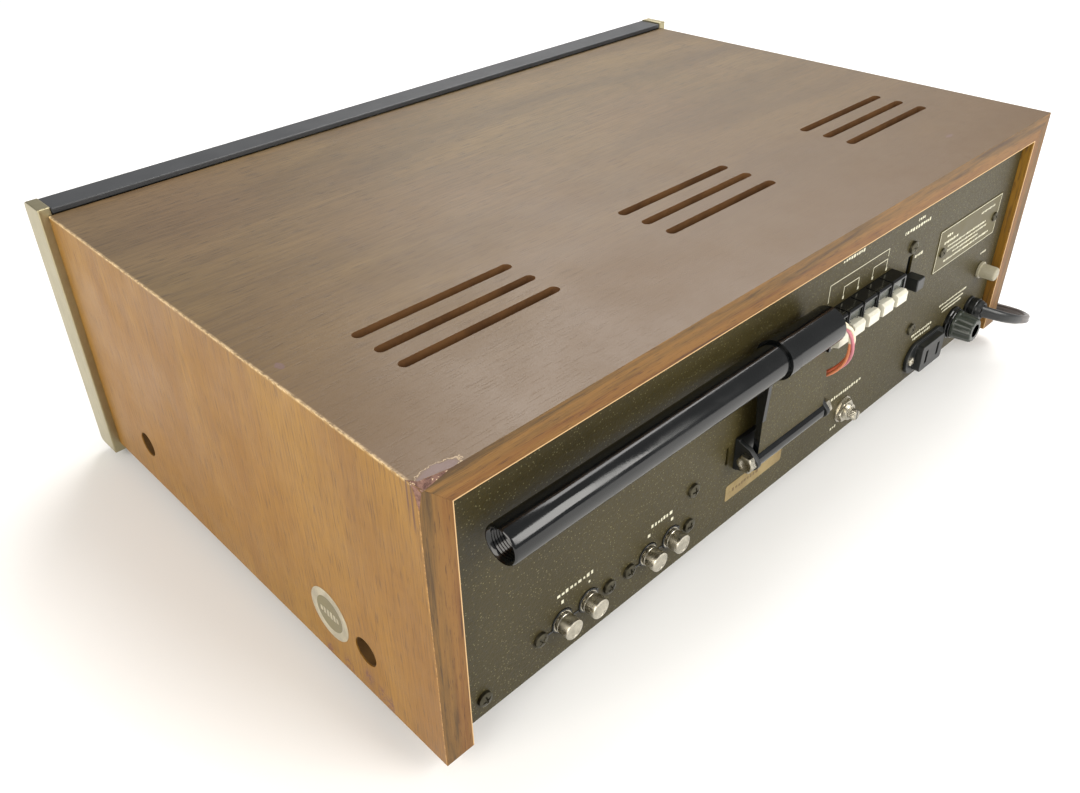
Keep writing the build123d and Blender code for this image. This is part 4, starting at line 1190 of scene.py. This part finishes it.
def add_fluted(shape, at, way, flutes, profile, depth):
    """A turned solid with a fluted rim: profile is a list of (radius, height, share of the flutes' depth)."""
    turn = frame_along(way)
    sides = flutes * 6
    previous = None
    for radius, height, share in profile:
        ring = []
        for step in range(sides):
            angle = 2 * math.pi * step / sides
            wave = 0.5 - 0.5 * math.cos(angle * flutes)
            rim = radius - depth * share * wave
            ring.append(shape.verts.new(
                Vector(at) + turn @ Vector((rim * math.cos(angle), rim * math.sin(angle), height))
            ))
        if previous:
            join_rings(shape, previous, ring)
        else:
            shape.faces.new(ring[::-1])
        previous = ring
    shape.faces.new(previous)


def build_pot_shaft(shape):
    profile = [(2.98, 0, 0), (2.98, 5.1, 0), (2.98, 5.3, 1), (2.98, 8.0, 1), (2.6, 8.5, 0.4)]
    add_fluted(
        shape, (POT_AT[0], PANEL_FACE, POT_AT[1]), BACKWARD, 18,
        [(r * MM, h * MM, share) for r, h, share in profile], 0.32 * MM,
    )


pot_shaft = new_piece("pot_shaft", "muting_control", build_pot_shaft, SLOTS["nickel"])
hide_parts("muting_shaft")


# The shaft's end slot is not cut: a thin black bar laid in its end stands for it, painted shade.
def build_slot_shade_bar(shape):
    x, z = POT_AT
    add_box(
        shape, (x - 0.45 * MM, PANEL_FACE + 8.1 * MM, z - 2.5 * MM),
        (x + 0.45 * MM, PANEL_FACE + 8.52 * MM, z + 2.5 * MM),
    )


shaft_slot_shade = new_piece("shaft_slot_shade", "muting_control", build_slot_shade_bar, SLOTS["satin_black"])

# Fuse holder and its tapered, fluted cap
FUSE_AT = (-0.1644, 0.0316)


def build_fuse_ring(shape):
    profile = ((6.0, 0), (9.6, 0), (9.6, 1.5), (9.2, 2.0), (8.9, 2.0), (8.9, 3.2), (8.6, 3.5), (6.0, 3.5))
    add_turned(
        shape, (FUSE_AT[0], PANEL_FACE, FUSE_AT[1]), BACKWARD,
        millimetres(profile), 64,
    )


def build_fuse_cap(shape):
    profile = [
        (8.2, 3.8, 0), (8.2, 5.0, 0), (8.0, 5.6, 1), (7.3, 13.6, 1), (6.9, 14.6, 0.7), (6.2, 15.0, 0.2),
    ]
    add_fluted(
        shape, (FUSE_AT[0], PANEL_FACE, FUSE_AT[1]), BACKWARD, 12,
        [(r * MM, h * MM, share) for r, h, share in profile], 0.75 * MM,
    )
    low, high = PANEL_FACE + 14.8 * MM, PANEL_FACE + 15.0 * MM
    add_turned(
        shape, (FUSE_AT[0], low, FUSE_AT[1]), BACKWARD,
        ((0, 0), (4.0 * MM, 0), (4.0 * MM, high - low), (0, high - low)), 32,
    )


FUSE_GREEN = plastic("fuse_cap_plastic", tone(48, 54, 46), 0.34)
fuse_ring = new_piece("fuse_ring", "chassis", build_fuse_ring, SLOTS["gloss_black"])
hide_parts("fuse_holder")
fuse_knob = new_piece("fuse_knob", "fuse_carrier", build_fuse_cap, FUSE_GREEN)
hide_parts("fuse_cap")

# Ground terminal: a beige thumb nut with a knurled rim
GROUND_AT = (-0.1890, 0.0562)


def build_ground(shape):
    profile = [
        (5.0, 0.3, 0), (5.0, 1.5, 0), (4.1, 1.7, 0), (4.1, 2.4, 0.6), (4.1, 9.0, 0.6),
        (3.8, 9.7, 0.3), (3.3, 10.0, 0),
    ]
    add_fluted(
        shape, (GROUND_AT[0], PANEL_FACE, GROUND_AT[1]), BACKWARD, 24,
        [(r * MM, h * MM, share) for r, h, share in profile], 0.22 * MM,
    )


ground_nut = new_piece("ground_nut", "ground_terminal", build_ground, SLOTS["thumb_plastic"])
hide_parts("ground_screw")


def build_bushing(shape):
    profile = (
        (3.0, 0), (6.5, 0), (6.5, 1.2), (6.1, 1.5), (6.1, 2.6), (6.45, 2.9), (6.45, 5.4),
        (6.1, 5.8), (6.1, 6.6), (5.6, 7.4), (5.0, 9.0), (4.2, 9.0), (3.2, 8.4),
    )
    add_turned(
        shape, (-0.186, PANEL_FACE, 0.033), BACKWARD, millimetres(profile), 48,
    )


bushing_ribs = new_piece("bushing_ribs", "chassis", build_bushing, SLOTS["satin_black"])
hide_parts("cord_bushing")


# Outlet: a nickel screw at each end of its flange
OUTLET_AT = (-0.1330, 0.0275)


def build_outlet_screws(shape):
    for side in (-1, 1):
        add_screw_head(
            shape, (OUTLET_AT[0] + side * 16.6 * MM, PANEL_FACE + 1.9 * MM, OUTLET_AT[1]), BACKWARD,
            2.6 * MM, 1.6 * MM, 0.6 * MM, cross=False, slot_turn=0.7,
        )


outlet_screws = new_piece("outlet_screws", "chassis", build_outlet_screws, SLOTS["nickel"])


# Terminal block: grey clamps seen in each cell, and thin ribs between the cells
BLOCK_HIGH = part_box("terminal_block")[1]
CELL_X = [middle(f"terminal_lever_{number}").x for number in range(1, 6)]


def build_clamps(shape):
    """Two bent spring clamps behind each lever."""
    outline = millimetres(((0, 0), (0.45, 0), (0.45, 11.5), (3.4, 15.2), (3.4, 15.8), (0, 12.0)))
    for x in CELL_X:
        for side in (-1, 1):
            add_prism(
                shape, outline, (x + side * 2.9 * MM - 1.1 * MM, PANEL_FACE + 2.2 * MM, 82.0 * MM),
                (1, 0, 0), 2.2 * MM, across=(0, 1, 0),
            )


CLAMP_GREY = metal("clamp_grey", tone(120, 122, 118), 0.3)
terminal_clamps = new_piece("terminal_clamps", "chassis", build_clamps, CLAMP_GREY)

# ---------------------------------------------------------------- print, plate, labels

PRINT_PROUD = 0.06 * MM


def add_mark(shape, x, z, wide, tall, level=None):
    """A flat printed mark on the panel, centred at x and z."""
    level = PANEL_FACE if level is None else level
    add_box(
        shape, (x - wide / 2, level, z - tall / 2), (x + wide / 2, level + PRINT_PROUD, z + tall / 2),
    )


def add_word(shape, x, z, wide, tall, seed, level=None):
    """A neutral row of short bars where the photograph has a word: no letters."""
    draw = random.Random(seed)
    at = x - wide / 2
    while at < x + wide / 2 - tall * 0.3:
        run = min(tall * draw.uniform(0.4, 0.8), x + wide / 2 - at)
        lift = tall * draw.uniform(-0.06, 0.06)
        add_mark(shape, at + run / 2, z + lift, run, tall * draw.uniform(0.5, 0.9), level)
        at += run + tall * draw.uniform(0.3, 0.55)


LABELS = (
    # x, z, width, height: over the sockets, the level control, the switch, the outlet and the fuse
    (0.1480, 0.0468, 0.0200, 0.0022), (0.1555, 0.0426, 0.0020, 0.0020), (0.1405, 0.0426, 0.0020, 0.0020),
    (0.0965, 0.0468, 0.0150, 0.0022), (0.1040, 0.0426, 0.0020, 0.0020), (0.0890, 0.0426, 0.0020, 0.0020),
    (-0.0493, 0.0410, 0.0280, 0.0022), (-0.0420, 0.0205, 0.0062, 0.0018),
    (-0.0935, 0.1160, 0.0250, 0.0022), (-0.0960, 0.1195, 0.0062, 0.0018), (-0.1010, 0.0980, 0.0080, 0.0020),
    (-0.0330, 0.1222, 0.0180, 0.0020),
    (-0.1255, 0.0430, 0.0230, 0.0019), (-0.1265, 0.0400, 0.0200, 0.0019),
    (-0.1590, 0.0500, 0.0330, 0.0015), (-0.1600, 0.0470, 0.0260, 0.0015), (-0.1600, 0.0445, 0.0220, 0.0015),
    (-0.1875, 0.0680, 0.0062, 0.0018),
)


def build_print(shape):
    for number, (x, z, wide, tall) in enumerate(LABELS):
        add_word(shape, x, z, wide, tall, 100 + number)
    line = 0.35 * MM
    # Brackets that gather the aerial terminals into pairs
    first, last = CELL_X[0], CELL_X[-1]
    top = BLOCK_HIGH.z + 13.0 * MM
    add_mark(shape, (first + last) / 2, top, abs(last - first), line)
    for x, low in ((first, 4.0), (last, 9.0)):
        add_mark(shape, x, (top + BLOCK_HIGH.z + low * MM) / 2, line, top - BLOCK_HIGH.z - low * MM)
    for pair in ((CELL_X[1], CELL_X[2]), (CELL_X[3], CELL_X[4])):
        level = BLOCK_HIGH.z + 7.6 * MM
        add_mark(shape, sum(pair) / 2, level, abs(pair[1] - pair[0]), line)
        for x in pair:
            add_mark(shape, x, level - 2.2 * MM, line, 4.4 * MM)
    for x in CELL_X:
        add_word(shape, x, BLOCK_HIGH.z + 2.0 * MM, 1.8 * MM, 2.0 * MM, 5)


panel_print = new_piece("panel_print", "chassis", build_print, PRINT_CREAM, smooth=False)

PLATE_X = (-0.1935, -0.1225)
PLATE_Z = (0.0780, 0.1027)
PLATE_THICK = 0.35 * MM
PLATE_BRASS = plastic("plate_lacquer", tone(86, 78, 44), 0.5)


def build_plate(shape):
    add_box(
        shape, (PLATE_X[0], PANEL_FACE, PLATE_Z[0]), (PLATE_X[1], PANEL_FACE + PLATE_THICK, PLATE_Z[1]),
        0.12 * MM, 1,
    )


rating_plate = new_piece("rating_plate", "chassis", build_plate, PLATE_BRASS)


def build_plate_print(shape):
    level = PANEL_FACE + PLATE_THICK
    middle_x, middle_z = sum(PLATE_X) / 2, sum(PLATE_Z) / 2
    wide, tall = PLATE_X[1] - PLATE_X[0], PLATE_Z[1] - PLATE_Z[0]
    rim = 0.3 * MM
    inset = 0.6 * MM
    for side in (-1, 1):
        add_mark(shape, middle_x, middle_z + side * (tall / 2 - inset), wide - 2 * inset, rim, level)
        add_mark(shape, middle_x + side * (wide / 2 - inset), middle_z, rim, tall - 2 * inset, level)
    rows = (
        (0.0975, 0.0022, 0.0060, -0.1340), (0.0975, 0.0016, 0.0160, -0.1780),
        (0.0938, 0.0018, 0.0150, -0.1370), (0.0905, 0.0015, 0.0440, -0.1560),
        (0.0878, 0.0015, 0.0460, -0.1570), (0.0851, 0.0013, 0.0300, -0.1560),
        (0.0822, 0.0015, 0.0520, -0.1590),
    )
    for number, (z, size, run, x) in enumerate(rows):
        add_word(shape, x, z, run, size, 300 + number, level)


plate_print = new_piece("plate_print", "chassis", build_plate_print, PRINT_CREAM, smooth=False)


def build_plate_screws(shape):
    for x, z in ((-0.1285, 0.0890), (-0.1890, 0.0895)):
        add_screw_head(
            shape, (x, PANEL_FACE + PLATE_THICK, z), BACKWARD, 2.6 * MM, 1.5 * MM, 0.5 * MM, cross=True,
            slot_turn=0.9,
        )


plate_screws = new_piece("plate_screws", "chassis", build_plate_screws, SLOTS["screw_dark"])

TAN_FILM = paper("label_tan", tone(146, 128, 88), tone(112, 94, 60))


def build_label(shape):
    """A tan paper label with rounded corners, partly behind the aerial's mount."""
    wide, tall, radius = 44 * MM, 9 * MM, 1.2 * MM
    outline = []
    for centre_x, centre_z, start in (
        (wide / 2 - radius, tall / 2 - radius, 0), (-wide / 2 + radius, tall / 2 - radius, 90),
        (-wide / 2 + radius, -tall / 2 + radius, 180), (wide / 2 - radius, -tall / 2 + radius, 270),
    ):
        for step in range(5):
            angle = math.radians(start + 90 * step / 4)
            outline.append((centre_x + radius * math.cos(angle), centre_z + radius * math.sin(angle)))
    add_prism(shape, outline, (0.0280, PANEL_FACE, 0.0320), BACKWARD, 0.12 * MM, across=(1, 0, 0))


paper_label = new_piece("paper_label", "chassis", build_label, TAN_FILM, smooth=False)


def build_label_print(shape):
    add_word(shape, 0.0350, 0.0320, 0.0200, 0.0024, 77, PANEL_FACE + 0.12 * MM)


label_print = new_piece(
    "label_print", "chassis", build_label_print, plastic("print_brown", tone(104, 82, 48), 0.6), smooth=False,
)

# The round foil sticker on the +X side: a silver ring round an olive field with raised marks
STICKER_AT = (CASE_SIDE, 0.0800, 0.0360)
SIDEWAYS = Vector((1, 0, 0))


def build_sticker_ring(shape):
    profile = ((8.6, 0), (12.5, 0), (12.5, 0.10), (12.2, 0.16), (8.9, 0.16), (8.6, 0.10), (8.6, 0))
    add_turned(shape, STICKER_AT, SIDEWAYS, millimetres(profile), 72)
    # Plain raised bars across the field
    for shift, tall in ((-5.4, 2.6), (-3.2, 3.4), (-1.0, 3.8), (1.2, 3.8), (3.4, 3.4), (5.4, 2.6)):
        centre_y = STICKER_AT[1] + shift * MM
        add_box(
            shape, (CASE_SIDE, centre_y - 0.7 * MM, STICKER_AT[2] - tall / 2 * MM),
            (CASE_SIDE + 0.2 * MM, centre_y + 0.7 * MM, STICKER_AT[2] + tall / 2 * MM), 0.06 * MM, 1,
        )


def build_sticker_field(shape):
    profile = ((0, 0), (8.65, 0), (8.65, 0.10), (0, 0.12))
    add_turned(shape, STICKER_AT, SIDEWAYS, millimetres(profile), 72)


STICKER_SILVER = metal("sticker_silver", tone(214, 208, 186), 0.38, tarnish=0.3)
sticker_ring = new_piece("sticker_ring", "chassis", build_sticker_ring, STICKER_SILVER)
sticker_field = new_piece(
    "sticker_field", "chassis", build_sticker_field, plastic("sticker_olive", tone(112, 104, 74), 0.4),
)


def build_cell_fronts(shape):
    """Each cell's front above its lever: a thin pane with a raised chevron, coloured grey as a painted
    reflection on black plastic.
    """
    for x in CELL_X:
        low = (x - 5.2 * MM, PANEL_FACE + 6.6 * MM, 94.3 * MM)
        high = (x + 5.2 * MM, PANEL_FACE + 7.2 * MM, 98.9 * MM)
        add_box(shape, low, high, 0.15 * MM, 1)
        for side in (-1, 1):
            outline = millimetres(((side * 4.6, 0), (side * 4.0, 0), (side * 0.3, 3.7), (side * 0.9, 3.9)))
            add_prism(
                shape, outline[::side], (x, PANEL_FACE + 7.15 * MM, 94.6 * MM), BACKWARD, 0.25 * MM,
                across=(1, 0, 0),
            )


# The cells' fronts are black plastic; the grey colour given them is a painted reflection.
cell_fronts = new_piece(
    "cell_fronts", "chassis", build_cell_fronts, plastic("cell_front_reflection_grey", tone(74, 78, 74), 0.18),
)


def build_cell_ribs(shape):
    """Ribs that stand a little proud between the cells, down to below the levers."""
    edges = [(first + second) / 2 for first, second in zip(CELL_X, CELL_X[1:])]
    for x in edges:
        add_box(
            shape, (x - 0.45 * MM, PANEL_FACE + 1 * MM, BLOCK_FOOT + 0.3 * MM),
            (x + 0.45 * MM, PANEL_FACE + 8.5 * MM, 100.2 * MM), 0.15 * MM, 1,
        )
        add_box(
            shape, (x - 0.3 * MM, PANEL_FACE + 1 * MM, BLOCK_HIGH.z - 0.4 * MM),
            (x + 0.3 * MM, PANEL_FACE + 8.4 * MM, BLOCK_HIGH.z + 0.3 * MM), 0.1 * MM, 1,
        )


cell_ribs = new_piece("cell_ribs", "chassis", build_cell_ribs, SLOTS["gloss_black"])

# ---------------------------------------------------------------- the front, not seen in the photograph

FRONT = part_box("front_fascia")[0].y
FORWARD = Vector((0, -1, 0))


def build_knob(node, at, flutes, marker):
    """A turned aluminium knob: a fluted skirt, a bright ring and a dished face with a marker line."""
    low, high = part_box(node)
    radius = (high.x - low.x) / 2
    depth = high.y - low.y
    x, z = at

    def build(shape):
        profile = [
            (radius, 0.0, 0), (radius, depth * 0.12, 0), (radius * 0.97, depth * 0.15, 1),
            (radius * 0.95, depth * 0.86, 1), (radius * 0.94, depth * 0.90, 0),
            (radius * 0.90, depth * 0.97, 0), (radius * 0.84, depth, 0), (radius * 0.80, depth * 0.985, 0),
            (radius * 0.4, depth * 0.965, 0), (radius * 0.02, depth * 0.96, 0),
        ]
        add_fluted(shape, (x, high.y, z), FORWARD, flutes, profile, 0.55 * MM)
        if marker:
            add_box(
                shape, (x - 0.5 * MM, high.y - depth - 0.02 * MM, z + radius * 0.45),
                (x + 0.5 * MM, high.y - depth * 0.9, z + radius * 0.80), 0.1 * MM, 1,
            )
    return build


BRUSHED = SLOTS["champagne_aluminium"]
for node, at, flutes, marker in (
    ("tuning_knob", (0.165, 0.098), 60, False), ("selector_knob", (0.165, 0.038), 36, True),
):
    knob = new_piece(f"{node}_turned", NODE_BODY[node], build_knob(node, at, flutes, marker), BRUSHED)
    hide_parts(node)

SCALE_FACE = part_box("dial_plate")[0].y
WINDOW_X = (-0.196, 0.110)
SCALE_X = (WINDOW_X[0] + 0.100, WINDOW_X[1] - 0.012)


def build_scale(shape):
    """Graduations of two bands, each along its own line, and a heavier line between them."""
    thin = 0.35 * MM
    left, right = SCALE_X

    def line(x_low, x_high, z_low, z_high):
        add_box(shape, (x_low, SCALE_FACE - PRINT_PROUD, z_low), (x_high, SCALE_FACE, z_high))
    for z, count, side in ((0.1150, 41, 1), (0.0930, 33, -1)):
        line(left, right, z - thin / 2, z + thin / 2)
        for step in range(count):
            x = left + (right - left) * step / (count - 1)
            tall = 4.0 * MM if step % 5 == 0 else 2.2 * MM
            middle_z = z + side * tall / 2
            line(x - thin / 2, x + thin / 2, middle_z - tall / 2, middle_z + tall / 2)
    line(left, right, 0.1040 - thin, 0.1040 + thin)


dial_marks = new_piece("dial_marks", "chassis", build_scale, PRINT_CREAM, smooth=False)


def add_number(text, x, y, z, size):
    """A number on the dial, facing forward."""
    curve = bpy.data.curves.new(f"number_{text}_{round(x * 1000)}", "FONT")
    curve.body = text
    curve.size = size
    curve.align_x = "CENTER"
    curve.align_y = "CENTER"
    curve.extrude = 0.03 * MM
    number = bpy.data.objects.new(f"dial_number_{text}_{round(z * 1000)}", curve)
    bpy.context.scene.collection.objects.link(number)
    number.location = (x, y, z)
    number.rotation_euler = (math.pi / 2, 0, 0)
    curve.materials.append(PRINT_CREAM)
    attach(number, "chassis")


NUMBER_SIZE = 5.2 * MM
for texts, z in (
    (("88", "92", "96", "100", "104", "108"), 0.1222), (("5.3", "6", "7", "8", "10", "12", "16"), 0.0860),
):
    for step, text in enumerate(texts):
        x = SCALE_X[0] + (SCALE_X[1] - SCALE_X[0]) * step / (len(texts) - 1)
        add_number(text, x, SCALE_FACE - 0.04 * MM, z, NUMBER_SIZE)

METER_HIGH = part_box("meter_cases")[1]


def build_meter_marks(shape):
    """An arc of graduations on each meter's face."""
    face = METER_HIGH.y - 1.2 * MM
    for centre in (-0.172, -0.124):
        for step in range(11):
            angle = math.radians(-42 + 84 * step / 10)
            middle_r = 0.0205
            tall = 3.0 * MM if step % 5 == 0 else 1.8 * MM
            x = centre + middle_r * math.sin(angle)
            z = 0.089 + middle_r * math.cos(angle)
            along = Vector((math.sin(angle), 0, math.cos(angle)))
            across = Vector((math.cos(angle), 0, -math.sin(angle)))
            points = [
                Vector((x, 0, z)) + across * s * 0.25 * MM + along * t * tall / 2
                for s, t in ((-1, -1), (1, -1), (1, 1), (-1, 1))
            ]
            low = [shape.verts.new((p.x, face, p.z)) for p in points]
            high = [shape.verts.new((p.x, face - PRINT_PROUD, p.z)) for p in points]
            shape.faces.new(low)
            shape.faces.new(high[::-1])
            for at in range(4):
                following = (at + 1) % 4
                shape.faces.new((low[at], high[at], high[following], low[following]))


meter_marks = new_piece(
    "meter_marks", "chassis", build_meter_marks, plastic("meter_ink", tone(36, 34, 30), 0.5), smooth=False,
)


def build_fascia_print(shape):
    """Neutral bars where labels would be, and the selector's positions."""
    level = FRONT - PRINT_PROUD
    for x, z, wide in (
        (-0.180, 0.050, 0.012), (-0.150, 0.050, 0.014), (0.165, 0.068, 0.020), (-0.043, 0.060, 0.060),
    ):
        for step in range(int(wide / (2.2 * MM))):
            low = x - wide / 2 + step * 2.2 * MM
            add_box(shape, (low, level, z - 0.7 * MM), (low + 1.6 * MM, FRONT, z + 0.7 * MM))
    for step in range(5):
        angle = math.radians(-60 + 30 * step)
        x, z = 0.165 + 0.0175 * math.sin(angle), 0.038 + 0.0175 * math.cos(angle)
        dot = ((0, 0), (0.8 * MM, 0), (0.8 * MM, PRINT_PROUD), (0, PRINT_PROUD))
        add_turned(shape, (x, FRONT, z), FORWARD, dot, 16)


fascia_print = new_piece(
    "fascia_print", "chassis", build_fascia_print, plastic("print_dark", tone(40, 38, 34), 0.5), smooth=False,
)
